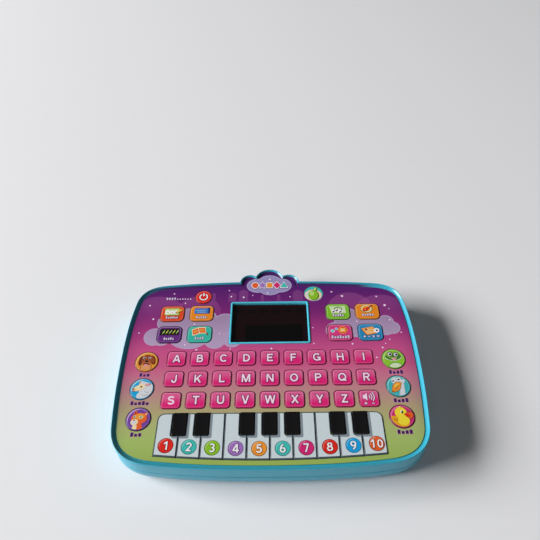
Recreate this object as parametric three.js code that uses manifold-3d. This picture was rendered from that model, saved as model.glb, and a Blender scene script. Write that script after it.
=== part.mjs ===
// Flat toy learning computer: a cyan case holding a printed panel of spring-back keys.
// Units are millimetres, +X right, +Y towards the back edge, +Z up. The origin is on the
// table, below the middle of the outline.

import * as THREE from 'three';
import { mergeVertices } from 'three/addons/utils/BufferGeometryUtils.js';
import Module from 'manifold-3d';

const wasm = await Module();
wasm.setup();

// Heights of the layers
const FLOOR_Z = 1.2;
const FLOOR_TOP_Z = 3.2;
const PARTING_Z = 15;
const BAY_ROOF_Z = 17;
const BOARD_Z = 18.5;
const BOARD_THICK = 1.6;
const SHEET_Z = 20.4;
const SHEET_THICK = 1.2;
const FLANGE_Z = 22.5;
const FLANGE_THICK = 0.8;
const FLANGE_REACH = 0.8;
const PLATE_Z = 23.6;
const PLATE_TOP_Z = 25.6;
const OVERLAY_Z = 25.9;
const OVERLAY_THICK = 0.5;
const KEY_TOP_Z = 26.8;
const DISPLAY_FRAME_Z = 27;
const RIM_Z = 28;

// Clearances and walls
const GAP = 0.3;
const WALL = 2.3;
const RIM_WIDTH = 3.7;

// Outline of the case, right half; the left half mirrors it
const HALF_WIDTH = 120;
const FRONT_Y = -93.9;
const LOBE = { x: 17.6, y: 78.4, r: 9 };
const CROWN = { x: 0, y: 80.4, r: 13.5 };

// Letter keys
const COLUMN_PITCH = 18.8;
const ROW_PITCH = 18.7;
const FIRST_ROW_Y = -1.6;
const LETTER_WIDTH = 15.4;
const LETTER_DEPTH = 14.3;
const LETTER_CORNER = 3;
const LETTER_ROWS = ['ABCDEFGHI', 'JKLMNOPQR', 'STUVWXYZ+'];

// Mode keys
const MODE_WIDTH = 20.8;
const MODE_DEPTH = 17.2;
const MODE_CORNER = 4.5;
const MODE_X = [58.7, 84];
const MODE_Y = [44.4, 22.4];

// Round keys
const ANIMAL_R = 9.4;
const ANIMAL_PLACES = [[99, -4.1], [98.9, -28.8], [97.6, -54.1]];
const POWER_R = 7.5;
const POWER_PLACE = [-58.5, 62.7];
const ROUND_SIDES = 16;

// Piano
const WHITE_COUNT = 10;
const WHITE_PITCH = 16.6;
const PIANO_BACK_Y = -50;
const PIANO_FRONT_Y = -86.2;
const PIANO_FRONT_RISE = 3.6;
const PIANO_CORNER = 5;
const BLACK_WIDTH = 10.9;
const BLACK_FRONT_Y = -67.75;
const BLACK_SEPARATORS = [1, 2, 4, 5, 6, 8, 9];
const WHITE_SPLIT = 0.4;

// Display
const DISPLAY = { x: 0, y: 34.3, width: 67.5, depth: 44.2 };
const DISPLAY_FRAME_WIDTH = 1.5;
const LENS_TOP_Z = 24.8;

// Battery bay, speaker, feet and screws in the rear case
const BAY = { x: 0, y: 22, width: 57, depth: 46.5 };
const BAY_LEDGE = 2.3;
const BAY_WALL = 4;
const COVER_THICK = 1.6;
const COVER_TAB_R = 5.5;
const TONGUE = { x: 17, width: 8, reach: 1.2, height: 0.9 };
const BOARD = { y: -7, width: 218, depth: 154, corner: 22 };
const SPEAKER = { x: 68, y: 20, r: 20, height: 10.5 };
const SPEAKER_RING = 1.8;
const GRILLE_SLOTS = 7;
const GRILLE_PITCH = 4.4;
const GRILLE_WIDTH = 2;
const FOOT_R = 6.5;
const FOOT_PLACES = [[92, 58], [88, -72]];
const BOSS_PLACES = [[105, 46], [42, 68.5], [97, -75.5]];
const BOSS_R = 3.6;
const SCREW_HOLE_R = 1.6;
const SCREW_HEAD_R = 3;
const SCREW_SEAT_Z = 11.5;
const PILOT_R = 1.2;
const BOSS_SIDES = 12;

// ---------------------------------------------------------------- outlines

function mirrored(places) {
  return places.flatMap(([x, y]) => [[x, y], [-x, y]]);
}

// Where the crown and the right lobe of the bump cross, measured from each centre
function bumpCrossing() {
  const dx = LOBE.x - CROWN.x;
  const dy = LOBE.y - CROWN.y;
  const distance = Math.hypot(dx, dy);
  const along = (distance ** 2 + CROWN.r ** 2 - LOBE.r ** 2) / (2 * distance);
  const across = Math.sqrt(CROWN.r ** 2 - along ** 2);
  const x = CROWN.x + (along * dx - across * dy) / distance;
  const y = CROWN.y + (along * dy + across * dx) / distance;
  return {
    lobeAngle: Math.atan2(y - LOBE.y, x - LOBE.x),
    crownAngle: Math.atan2(y - CROWN.y, x - CROWN.x),
  };
}

function rightHalfOutline() {
  const path = new THREE.Path();
  path.moveTo(0, FRONT_Y);
  path.bezierCurveTo(32, FRONT_Y, 62, -92.6, 86, -89.7);
  path.bezierCurveTo(104.5, -87.4, 114.2, -77.6, 116.4, -63);
  path.bezierCurveTo(119, -40, HALF_WIDTH, -18, HALF_WIDTH, 8);
  path.bezierCurveTo(HALF_WIDTH, 26, 119, 42, 116.7, 55.3);
  path.bezierCurveTo(115, 67.5, 107, 74.3, 92.5, 75.6);
  path.bezierCurveTo(66, 78, 46, 78.6, LOBE.x + LOBE.r, 79);
  const crossing = bumpCrossing();
  path.absarc(LOBE.x, LOBE.y, LOBE.r, 0.07, crossing.lobeAngle, false);
  path.absarc(CROWN.x, CROWN.y, CROWN.r, crossing.crownAngle, Math.PI / 2, false);
  return path;
}

function caseOutline() {
  const half = rightHalfOutline();
  const right = half.curves.flatMap((curve) => {
    const steps = curve.isLineCurve ? 1 : 5;
    return curve.getPoints(steps).slice(1);
  });
  const points = [new THREE.Vector2(0, FRONT_Y), ...right];
  const left = right.slice(0, -1).reverse();
  points.push(...left.map((p) => new THREE.Vector2(-p.x, p.y)));
  return points.filter((p, i) => p.distanceTo(points.at(i - 1)) > 0.2);
}

// Moves each corner of a counter-clockwise outline inwards by a distance
function inset(points, distance) {
  return points.map((p, i) => {
    const before = p.clone().sub(points.at(i - 1)).normalize();
    const after = points[(i + 1) % points.length].clone().sub(p).normalize();
    const normal = new THREE.Vector2(-before.y - after.y, before.x + after.x).normalize();
    const spread = Math.max(0.35, -normal.x * before.y + normal.y * before.x);
    return p.clone().addScaledVector(normal, distance / spread);
  });
}

function roundedRectangle(x, y, width, depth, radius, steps) {
  const points = [];
  const corners = [[1, -1, -90], [1, 1, 0], [-1, 1, 90], [-1, -1, 180]];
  for (const [sx, sy, start] of corners) {
    for (let i = 0; i <= steps; i += 1) {
      const angle = THREE.MathUtils.degToRad(start + (90 * i) / steps);
      const cx = x + sx * (width / 2 - radius);
      const cy = y + sy * (depth / 2 - radius);
      points.push(new THREE.Vector2(cx + radius * Math.cos(angle), cy + radius * Math.sin(angle)));
    }
  }
  return points;
}

function circle(x, y, radius, sides) {
  return Array.from({ length: sides }, (_, i) => {
    const angle = (2 * Math.PI * (i + 0.5)) / sides;
    return new THREE.Vector2(x + radius * Math.cos(angle), y + radius * Math.sin(angle));
  });
}

// ---------------------------------------------------------------- solids

// A closed solid through a stack of outlines: each ring is { points, z }
function loft(rings) {
  const count = rings[0].points.length;
  const positions = rings.flatMap((ring) => ring.points.flatMap((p) => [p.x, p.y, ring.z]));
  const index = [];
  for (let level = 0; level < rings.length - 1; level += 1) {
    for (let i = 0; i < count; i += 1) {
      const a = level * count + i;
      const b = level * count + ((i + 1) % count);
      index.push(a, b, b + count, a, b + count, a + count);
    }
  }
  const top = (rings.length - 1) * count;
  for (const [a, b, c] of THREE.ShapeUtils.triangulateShape(rings.at(-1).points, [])) {
    index.push(top + a, top + b, top + c);
  }
  for (const [a, b, c] of THREE.ShapeUtils.triangulateShape(rings[0].points, [])) {
    index.push(a, c, b);
  }
  const geometry = new THREE.BufferGeometry();
  geometry.setAttribute('position', new THREE.Float32BufferAttribute(positions, 3));
  geometry.setIndex(index);
  return geometry;
}

function prism(points, bottom, top) {
  return loft([{ points, z: bottom }, { points, z: top }]);
}

function sheetWithHoles(points, holes, bottom, thickness) {
  const shape = new THREE.Shape(points);
  shape.holes = holes.map((hole) => new THREE.Path(hole));
  const geometry = new THREE.ExtrudeGeometry(shape, { depth: thickness, bevelEnabled: false });
  return geometry.translate(0, 0, bottom);
}

function toManifold(geometry) {
  const bare = geometry.clone();
  bare.deleteAttribute('normal');
  bare.deleteAttribute('uv');
  const merged = mergeVertices(bare, 1e-4);
  return new wasm.Manifold(new wasm.Mesh({
    numProp: 3,
    vertProperties: new Float32Array(merged.attributes.position.array),
    triVerts: new Uint32Array(merged.index.array),
  }));
}

function toGeometry(solid) {
  const mesh = solid.getMesh();
  const geometry = new THREE.BufferGeometry();
  geometry.setAttribute('position', new THREE.BufferAttribute(mesh.vertProperties, 3));
  geometry.setIndex(new THREE.BufferAttribute(mesh.triVerts, 1));
  return geometry;
}

function joinAndCut(base, added, removed) {
  let solid = toManifold(base);
  for (const geometry of added) solid = solid.add(toManifold(geometry));
  for (const geometry of removed) solid = solid.subtract(toManifold(geometry));
  return toGeometry(solid);
}

// ---------------------------------------------------------------- key layout

function letterName(letter) {
  return letter === '+' ? 'key_volume' : `key_${letter.toLowerCase()}`;
}

// Adds a key's rounded outline, grown by a clearance, and its square-cornered plate opening
function rectangularKey(key) {
  const { x, y, width, depth, corner: radius } = key;
  return {
    ...key,
    outline: (grow) => roundedRectangle(x, y, width + 2 * grow, depth + 2 * grow, radius + grow, 2),
    opening: () => {
      const right = x + width / 2 + GAP;
      const left = x - width / 2 - GAP;
      const back = y + depth / 2 + GAP;
      const front = y - depth / 2 - GAP;
      const corners = [[left, front], [right, front], [right, back], [left, back]];
      return corners.map((corner) => new THREE.Vector2(...corner));
    },
  };
}

function letterKeys() {
  return LETTER_ROWS.flatMap((row, r) => [...row].map((letter, c) => rectangularKey({
    name: letterName(letter),
    color: 0xdc1f7c,
    x: (c - (row.length - 1) / 2) * COLUMN_PITCH,
    y: FIRST_ROW_Y - r * ROW_PITCH,
    width: LETTER_WIDTH,
    depth: LETTER_DEPTH,
    corner: LETTER_CORNER,
  })));
}

function modeKeys() {
  const [inner, outer] = MODE_X;
  const [back, front] = MODE_Y;
  const places = [
    ['mode_key_letter', -outer, back, 0xe8502a],
    ['mode_key_word', -inner, back, 0xf08c1e],
    ['mode_key_spell', -outer, front, 0x6b2f8c],
    ['mode_key_read', -inner, front, 0x2fb5a0],
    ['mode_key_song', inner, back, 0x7cb928],
    ['mode_key_music', outer, back, 0xf08c1e],
    ['mode_key_question', inner, front, 0xd83c82],
    ['mode_key_math', outer, front, 0x1f82c4],
  ];
  return places.map(([name, x, y, color]) => rectangularKey({
    name,
    color,
    x,
    y,
    width: MODE_WIDTH,
    depth: MODE_DEPTH,
    corner: MODE_CORNER,
  }));
}

function roundKeys() {
  const left = [['dog', 0xe88a2a], ['sheep', 0x28a8dc], ['cat', 0x7a3f9a]];
  const right = [['frog', 0x7cc23a], ['duck', 0x2aa6b4], ['bird', 0xd43a8c]];
  const keys = ANIMAL_PLACES.flatMap(([x, y], i) => [
    { name: `animal_key_${left[i][0]}`, color: left[i][1], x: -x, y, r: ANIMAL_R },
    { name: `animal_key_${right[i][0]}`, color: right[i][1], x, y, r: ANIMAL_R },
  ]);
  const [x, y] = POWER_PLACE;
  keys.push({ name: 'power_button', color: 0xe02020, x, y, r: POWER_R });
  return keys.map((key) => ({
    ...key,
    outline: (grow) => circle(key.x, key.y, key.r + grow, ROUND_SIDES),
    opening: () => circle(key.x, key.y, key.r + GAP, ROUND_SIDES),
  }));
}

// ---------------------------------------------------------------- piano

function separatorX(number) {
  return (number - WHITE_COUNT / 2) * WHITE_PITCH;
}

function pianoFrontY(x) {
  const half = (WHITE_COUNT / 2) * WHITE_PITCH;
  return PIANO_FRONT_Y + PIANO_FRONT_RISE * (x / half) ** 2;
}

function cornerArc(x, y, radius, start, end) {
  const steps = 3;
  return Array.from({ length: steps + 1 }, (_, i) => {
    const angle = THREE.MathUtils.degToRad(start + ((end - start) * i) / steps);
    return new THREE.Vector2(x + radius * Math.cos(angle), y + radius * Math.sin(angle));
  });
}

// The opening for the white keys, with the black keys as tongues from its back edge
function pianoOpening() {
  const half = (WHITE_COUNT / 2) * WHITE_PITCH + GAP;
  const back = PIANO_BACK_Y + GAP;
  const points = [];
  for (let i = 0; i <= WHITE_COUNT; i += 1) {
    const x = (separatorX(i) * half) / (half - GAP);
    points.push(new THREE.Vector2(x, pianoFrontY(x) - GAP));
  }
  points.push(...cornerArc(half - PIANO_CORNER, back - PIANO_CORNER, PIANO_CORNER, 0, 90));
  for (const number of [...BLACK_SEPARATORS].reverse()) {
    const x = separatorX(number);
    points.push(new THREE.Vector2(x + BLACK_WIDTH / 2, back));
    points.push(new THREE.Vector2(x + BLACK_WIDTH / 2, BLACK_FRONT_Y));
    points.push(new THREE.Vector2(x - BLACK_WIDTH / 2, BLACK_FRONT_Y));
    points.push(new THREE.Vector2(x - BLACK_WIDTH / 2, back));
  }
  points.push(...cornerArc(-half + PIANO_CORNER, back - PIANO_CORNER, PIANO_CORNER, 90, 180));
  return points;
}

function whiteKeyOutline(number) {
  const left = separatorX(number - 1) + (number === 1 ? 0 : WHITE_SPLIT / 2);
  const right = separatorX(number) - (number === WHITE_COUNT ? 0 : WHITE_SPLIT / 2);
  const middle = (left + right) / 2;
  const notch = BLACK_WIDTH / 2 + GAP;
  const notchY = BLACK_FRONT_Y - GAP;
  const points = [left, middle, right].map((x) => new THREE.Vector2(x, pianoFrontY(x)));
  if (BLACK_SEPARATORS.includes(number)) {
    points.push(new THREE.Vector2(right, notchY));
    points.push(new THREE.Vector2(separatorX(number) - notch, notchY));
    points.push(new THREE.Vector2(separatorX(number) - notch, PIANO_BACK_Y));
  } else if (number === WHITE_COUNT) {
    points.push(...cornerArc(right - PIANO_CORNER, PIANO_BACK_Y - PIANO_CORNER, PIANO_CORNER, 0, 90));
  } else {
    points.push(new THREE.Vector2(right, PIANO_BACK_Y));
  }
  if (BLACK_SEPARATORS.includes(number - 1)) {
    points.push(new THREE.Vector2(separatorX(number - 1) + notch, PIANO_BACK_Y));
    points.push(new THREE.Vector2(separatorX(number - 1) + notch, notchY));
    points.push(new THREE.Vector2(left, notchY));
  } else if (number === 1) {
    points.push(...cornerArc(left + PIANO_CORNER, PIANO_BACK_Y - PIANO_CORNER, PIANO_CORNER, 90, 180));
  } else {
    points.push(new THREE.Vector2(left, PIANO_BACK_Y));
  }
  return points;
}

// ---------------------------------------------------------------- sub-parts

const outline = caseOutline();
const letters = letterKeys();
const modes = modeKeys();
const rounds = roundKeys();
const capKeys = [...letters, ...modes, ...rounds];

function bossCylinders(radius, bottom, top) {
  return mirrored(BOSS_PLACES).map(([x, y]) => prism(circle(x, y, radius, BOSS_SIDES), bottom, top));
}

function displayOutline(grow) {
  const { x, y, width, depth } = DISPLAY;
  return roundedRectangle(x, y, width + 2 * grow, depth + 2 * grow, 1.2 + Math.max(grow, -0.8), 2);
}

function frontCase() {
  const skirt = PARTING_Z + GAP;
  const shell = loft([
    { points: inset(outline, WALL), z: PLATE_Z },
    { points: inset(outline, WALL), z: skirt },
    { points: outline, z: skirt },
    { points: outline, z: RIM_Z - 2.2 },
    { points: inset(outline, 0.4), z: RIM_Z - 0.9 },
    { points: inset(outline, 1.3), z: RIM_Z - 0.1 },
    { points: inset(outline, 2.1), z: RIM_Z },
    { points: inset(outline, 2.9), z: RIM_Z - 0.3 },
    { points: inset(outline, RIM_WIDTH - 0.2), z: RIM_Z - 1.2 },
    { points: inset(outline, RIM_WIDTH), z: PLATE_TOP_Z },
  ]);
  const displayFrame = prism(displayOutline(0), PLATE_Z, DISPLAY_FRAME_Z);
  const keyHoles = capKeys.map((key) => prism(key.opening(), PLATE_Z - 1, PLATE_TOP_Z + 1));
  const window = prism(displayOutline(-DISPLAY_FRAME_WIDTH), PLATE_Z - 1, DISPLAY_FRAME_Z + 1);
  const piano = prism(pianoOpening(), PLATE_Z - 1, PLATE_TOP_Z + 1);
  return joinAndCut(
    shell,
    [displayFrame, ...bossCylinders(BOSS_R, skirt, PLATE_Z + 1)],
    [window, piano, ...keyHoles, ...bossCylinders(PILOT_R, skirt - 1, PLATE_Z - 1)],
  );
}

function graphicOverlay() {
  const holes = [
    ...capKeys.map((key) => key.outline(GAP)),
    pianoOpening(),
    displayOutline(GAP),
  ];
  return sheetWithHoles(inset(outline, RIM_WIDTH + GAP), holes, OVERLAY_Z, OVERLAY_THICK);
}

function bayBox(grow, bottom, top) {
  const { x, y, width, depth } = BAY;
  return prism(roundedRectangle(x, y, width + 2 * grow, depth + 2 * grow, 2, 1), bottom, top);
}

function grilleSlots() {
  const middle = (GRILLE_SLOTS - 1) / 2;
  return Array.from({ length: GRILLE_SLOTS }, (_, i) => {
    const offset = (i - middle) * GRILLE_PITCH;
    const length = 2 * Math.sqrt((SPEAKER.r - 3.5) ** 2 - offset ** 2);
    const slot = roundedRectangle(
      SPEAKER.x,
      SPEAKER.y + offset,
      length,
      GRILLE_WIDTH,
      GRILLE_WIDTH / 2 - 0.01,
      2,
    );
    return prism(slot, FLOOR_Z - 1, FLOOR_TOP_Z + 1);
  });
}

function speakerRing() {
  const { x, y, r } = SPEAKER;
  return sheetWithHoles(
    circle(x, y, r + GAP + SPEAKER_RING, 24),
    [circle(x, y, r + GAP, 24)],
    FLOOR_TOP_Z - 0.5,
    5,
  );
}

function rearCase() {
  const tray = loft([
    { points: inset(outline, 7), z: FLOOR_Z },
    { points: inset(outline, 3.2), z: 2.4 },
    { points: inset(outline, 1), z: 5 },
    { points: outline, z: 10 },
    { points: outline, z: PARTING_Z },
    { points: inset(outline, WALL), z: PARTING_Z },
    { points: inset(outline, WALL), z: 10 },
    { points: inset(outline, 3.4), z: 5.4 },
    { points: inset(outline, 7), z: FLOOR_TOP_Z },
  ]);
  const feet = mirrored(FOOT_PLACES).map(([x, y]) => prism(circle(x, y, FOOT_R, 16), 0, FLOOR_Z + 1));
  const recessTop = FLOOR_Z + COVER_THICK + GAP;
  return joinAndCut(
    tray,
    [
      ...feet,
      bayBox(BAY_WALL, FLOOR_Z, BAY_ROOF_Z + 1.2),
      speakerRing(),
      prism(coverTab(COVER_TAB_R + 1.5), FLOOR_TOP_Z - 1, 12),
      ...bossCylinders(BOSS_R + 0.8, FLOOR_TOP_Z - 1, PARTING_Z - GAP),
    ],
    [
      bayBox(0, FLOOR_Z - 1, BAY_ROOF_Z),
      bayBox(BAY_LEDGE, FLOOR_Z - 1, recessTop),
      prism(coverTab(COVER_TAB_R + GAP), FLOOR_Z - 1, recessTop),
      prism(coverTab(PILOT_R), FLOOR_Z - 1, 10),
      ...coverTongues(GAP),
      ...grilleSlots(),
      ...bossCylinders(SCREW_HEAD_R, -1, SCREW_SEAT_Z),
      ...bossCylinders(SCREW_HOLE_R, -1, PARTING_Z + 1),
    ],
  );
}

// The round tab with the cover's screw, in front of the bay
function coverTab(radius) {
  return circle(BAY.x, BAY.y - BAY.depth / 2 - COVER_TAB_R, radius, BOSS_SIDES);
}

// Two tongues on the cover's back edge; grown, they are the slots that hold them
function coverTongues(grow) {
  return [-1, 1].map((side) => {
    const reach = 2 * (TONGUE.reach + grow);
    const box = new THREE.BoxGeometry(TONGUE.width + 2 * grow, reach, TONGUE.height + 2 * grow);
    const z = FLOOR_Z + COVER_THICK - TONGUE.height / 2;
    return box.translate(BAY.x + side * TONGUE.x, BAY.y + BAY.depth / 2 + BAY_LEDGE - GAP, z);
  });
}

function gripRibs() {
  return [-1, 0, 1].map((i) => {
    const rib = new THREE.BoxGeometry(18, 1.2, 1);
    return rib.translate(BAY.x, BAY.y - BAY.depth / 2 + 9 + i * 2.6, FLOOR_Z);
  });
}

function batteryCover() {
  return joinAndCut(
    bayBox(BAY_LEDGE - GAP, FLOOR_Z, FLOOR_Z + COVER_THICK),
    [
      prism(coverTab(COVER_TAB_R), FLOOR_Z, FLOOR_Z + COVER_THICK),
      ...coverTongues(0),
      ...gripRibs(),
    ],
    [
      prism(coverTab(SCREW_HOLE_R), FLOOR_Z - 1, FLOOR_Z + COVER_THICK + 1),
      prism(coverTab(SCREW_HEAD_R), FLOOR_Z - 1, FLOOR_Z + COVER_THICK / 2),
    ],
  );
}

// A flat layer inside the case, notched round the screw bosses
function innerLayer(bottom, thickness, removed) {
  const { y, width, depth, corner } = BOARD;
  const top = bottom + thickness;
  return joinAndCut(
    prism(roundedRectangle(0, y, width, depth, corner, 4), bottom, top),
    [],
    [...removed, ...bossCylinders(BOSS_R + 0.5, bottom - 1, top + 1)],
  );
}

function mainBoard() {
  return innerLayer(BOARD_Z, BOARD_THICK, []);
}

function keypadSheet() {
  const window = prism(displayOutline(3), SHEET_Z - 1, SHEET_Z + SHEET_THICK + 1);
  return innerLayer(SHEET_Z, SHEET_THICK, [window]);
}

function displayLens() {
  const opening = displayOutline(-DISPLAY_FRAME_WIDTH - GAP);
  const flange = displayOutline(2);
  return loft([
    { points: flange, z: PLATE_Z - GAP - 1.2 },
    { points: flange, z: PLATE_Z - GAP },
    { points: opening, z: PLATE_Z - GAP },
    { points: opening, z: LENS_TOP_Z },
  ]);
}

function speakerUnit() {
  const { x, y, r, height } = SPEAKER;
  const magnetR = r * 0.62;
  const profile = [
    [0, 2],
    [r * 0.7, 0.8],
    [r - 1, 0.8],
    [r - 1, 0],
    [r, 0],
    [r, 1.5],
    [magnetR, height * 0.5],
    [magnetR, height],
    [0, height],
  ];
  const points = profile.map(([radius, z]) => new THREE.Vector2(radius, z));
  const turned = new THREE.LatheGeometry(points, 24).rotateX(Math.PI / 2);
  return turned.translate(x, y, FLOOR_TOP_Z + GAP);
}

function capKey(key) {
  return loft([
    { points: key.outline(FLANGE_REACH), z: FLANGE_Z },
    { points: key.outline(FLANGE_REACH), z: FLANGE_Z + FLANGE_THICK },
    { points: key.outline(0), z: FLANGE_Z + FLANGE_THICK },
    { points: key.outline(0), z: KEY_TOP_Z },
  ]);
}

function whiteKey(number) {
  const x = (separatorX(number - 1) + separatorX(number)) / 2;
  const lipDepth = 5;
  const lip = new THREE.BoxGeometry(WHITE_PITCH - 3, lipDepth, FLANGE_THICK);
  lip.translate(x, pianoFrontY(x) + lipDepth / 2 - FLANGE_REACH, FLANGE_Z + FLANGE_THICK / 2);
  return joinAndCut(prism(whiteKeyOutline(number), FLANGE_Z, KEY_TOP_Z), [lip], []);
}

// ---------------------------------------------------------------- assembly

const plastic = (color, roughness = 0.35) => new THREE.MeshStandardMaterial({
  color,
  roughness,
  metalness: 0,
});

const part = new THREE.Group();

function place(name, geometry, material) {
  const mesh = new THREE.Mesh(geometry, material);
  mesh.name = name;
  part.add(mesh);
}

const cyan = plastic(0x34c3d6);
place('front_case', frontCase(), cyan);
place('rear_case', rearCase(), cyan);
place('battery_cover', batteryCover(), cyan);
place('graphic_overlay', graphicOverlay(), plastic(0x8a2f86, 0.2));
place('display_lens', displayLens(), plastic(0x0c0a0b, 0.08));
place('keypad_sheet', keypadSheet(), plastic(0xd8d8d2, 0.7));
place('main_board', mainBoard(), plastic(0x1f6b3a, 0.5));
place('speaker', speakerUnit(), plastic(0x2a2a2c, 0.5));
for (const key of capKeys) place(key.name, capKey(key), plastic(key.color));
for (let number = 1; number <= WHITE_COUNT; number += 1) {
  place(`piano_key_${number}`, whiteKey(number), plastic(0xd2dade));
}

export default part;
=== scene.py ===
"""Toy learning computer: a flat cyan case that holds a printed panel of spring-back keys.

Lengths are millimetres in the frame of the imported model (+X right, +Y to the back edge, +Z up).
MM turns them into Blender's metres.
"""

import math
import string
from functools import partial

import bpy
from mathutils import Matrix, Vector
from mathutils.geometry import delaunay_2d_cdt, tessellate_polygon


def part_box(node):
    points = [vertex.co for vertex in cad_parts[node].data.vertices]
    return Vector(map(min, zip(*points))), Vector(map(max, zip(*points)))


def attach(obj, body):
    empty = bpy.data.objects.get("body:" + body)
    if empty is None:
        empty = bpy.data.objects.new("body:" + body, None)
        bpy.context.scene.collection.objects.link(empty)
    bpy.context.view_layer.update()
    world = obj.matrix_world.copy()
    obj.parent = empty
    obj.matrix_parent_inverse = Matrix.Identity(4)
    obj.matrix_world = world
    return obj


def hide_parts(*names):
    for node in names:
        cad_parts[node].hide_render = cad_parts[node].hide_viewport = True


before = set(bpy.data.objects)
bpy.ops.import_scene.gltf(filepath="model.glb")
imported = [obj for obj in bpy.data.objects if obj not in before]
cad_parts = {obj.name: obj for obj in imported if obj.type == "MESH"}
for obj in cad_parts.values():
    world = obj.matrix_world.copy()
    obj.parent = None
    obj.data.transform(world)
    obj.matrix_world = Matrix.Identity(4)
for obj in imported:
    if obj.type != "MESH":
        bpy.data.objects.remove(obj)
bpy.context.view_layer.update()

MM = 0.001

# Camera
CAMERA_PLACE = (6.6, -243.6, 393.7)
CAMERA_TARGET = (0.4, 94.3, 26.6)
CAMERA_ROLL = -1.59
CAMERA_LENS = 35.93

# Heights of the layers
FLOOR_Z = 1.2
FLOOR_TOP_Z = 3.2
PARTING_Z = 15
BAY_ROOF_Z = 17
SKIRT_Z = 15.3
FLANGE_Z = 22.5
KEY_TRAVEL = 0.8
FLANGE_TOP_Z = 23.3
PLATE_Z = 23.6
PLATE_TOP_Z = 25.6
DISPLAY_FRAME_Z = 27
RIM_Z = 28
BLACK_KEY_Z = 27

# Clearances, walls and print
GAP = 0.3
WALL = 2.3
RIM_WIDTH = 3.7
FLANGE_REACH = 0.8
INK = 0.03
INK_STEP = 0.01
LETTER_HEIGHT = 7.1
LETTER_SQUEEZE = 0.92
CURVE_PULL = 0.5523

# Outline of the case, right half
FRONT_Y = -93.9
LOBE = (17.6, 78.4, 9)
CROWN = (0, 80.4, 13.5)

# Keys
LETTER_CORNER = 3
MODE_CORNER = 4.5
ANIMAL_R = 9.4
POWER_R = 7.5
WHITE_COUNT = 10
WHITE_PITCH = 16.6
PIANO_BACK_Y = -50
PIANO_FRONT_Y = -86.2
PIANO_FRONT_RISE = 3.6
PIANO_CORNER = 5
BLACK_WIDTH = 10.9
BLACK_FRONT_Y = -67.75
BLACK_SEPARATORS = (1, 2, 4, 5, 6, 8, 9)
WHITE_SPLIT = 0.4
DISC_RISE = 8.3

# Display, battery bay, speaker, feet and screws
DISPLAY = (0, 34.3, 67.5, 44.2)
DISPLAY_CORNER = 1.2
DISPLAY_FRAME_WIDTH = 1.5
LED_COLUMNS, LED_ROWS = 14, 8
BAY = (0, 22, 57, 46.5)
BAY_LEDGE = 2.3
BAY_WALL = 4
COVER_THICK = 1.6
TAB_R = 5.5
TAB_Y = BAY[1] - BAY[3] / 2 - TAB_R
SPEAKER = (68, 20, 20)
GRILLE_SLOTS = 7
GRILLE_PITCH = 4.4
GRILLE_WIDTH = 2
FOOT_PLACES = ((92, 58), (-92, 58), (88, -72), (-88, -72))
FOOT_R = 6.5
BOSS_PLACES = ((105, 46), (-105, 46), (42, 68.5), (-42, 68.5), (97, -75.5), (-97, -75.5))
SCREW_SEAT_Z = 11.5
SCREW_HEAD_R = 3
SCREW_HOLE_R = 1.6

# Side of the floor in metres
FLOOR_SIZE = 16

# Printed colours, 0 to 255. Inks named light_ and dark_ are made from the first group.
CASE_CYAN = (54, 166, 192)
# Roughness, mottle, grain, bump, coat, metal and unevenness of the case
CASE_SURFACE = (0.32, 0.03, 4.0, 0.012, 0.06, 0.0, 0.08)
PALETTE = {
    "red": (224, 38, 28), "red_orange": (232, 96, 44), "orange": (240, 150, 50), "green": (140, 194, 40),
    "teal": (66, 190, 182), "sky": (24, 162, 226), "violet": (162, 112, 190), "magenta": (214, 38, 118),
    "purple": (112, 52, 140), "blue": (54, 122, 196),
}
PLAIN_INKS = {
    "white": (246, 244, 248), "letter": (250, 222, 238), "letter_edge": (118, 26, 84), "black": (22, 20, 20),
    "slate": (74, 86, 94), "outline": (96, 84, 112), "pale_lilac": (216, 204, 226), "rust": (178, 98, 60),
    "key_shadow": (132, 142, 150), "caption": (62, 22, 92), "caption_edge": (196, 140, 176),
    "tower": (124, 58, 128), "glow": (214, 160, 208), "sign": (158, 146, 194), "sign_edge": (186, 176, 214),
    "amber": (246, 190, 74), "gold": (228, 168, 34), "yellow": (242, 220, 56), "cream": (242, 220, 176),
    "tan": (222, 156, 104), "brown": (152, 74, 40), "dark_brown": (98, 42, 26), "deep_green": (58, 122, 40),
    "pale_green": (208, 226, 186), "pale_sky": (176, 218, 232), "navy": (30, 44, 110), "pink": (240, 156, 170),
    "wool": (214, 216, 222), "grey": (178, 186, 194),
}

finishes = {}


# ---------------------------------------------------------------- outlines


def bezier(start, first, second, end, steps):
    """Points of a cubic curve, without its start."""
    points = []
    for i in range(1, steps + 1):
        t = i / steps
        s = 1 - t
        weights = (s ** 3, 3 * s * s * t, 3 * s * t * t, t ** 3)
        corners = (start, first, second, end)
        points.append(tuple(sum(w * p[axis] for w, p in zip(weights, corners)) for axis in (0, 1)))
    return points


def arc(x, y, radius, start, end, steps):
    """Points of an arc in degrees, both ends included."""
    angles = [math.radians(start + (end - start) * i / steps) for i in range(steps + 1)]
    return [(x + radius * math.cos(a), y + radius * math.sin(a)) for a in angles]


def circle(x, y, radius, sides=48):
    return arc(x, y, radius, 0, 360, sides)[:-1]


def turned(points, turn, x=0.0, y=0.0):
    """Points turned about the origin by degrees, then moved."""
    cos, sin = math.cos(math.radians(turn)), math.sin(math.radians(turn))
    return [(x + px * cos - py * sin, y + px * sin + py * cos) for px, py in points]


def ellipse(x, y, width, depth, turn=0.0, sides=32):
    """An ellipse of that width and depth, turned counter-clockwise by degrees."""
    return turned([(px * width / 2, py * depth / 2) for px, py in circle(0, 0, 1, sides)], turn, x, y)


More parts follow.
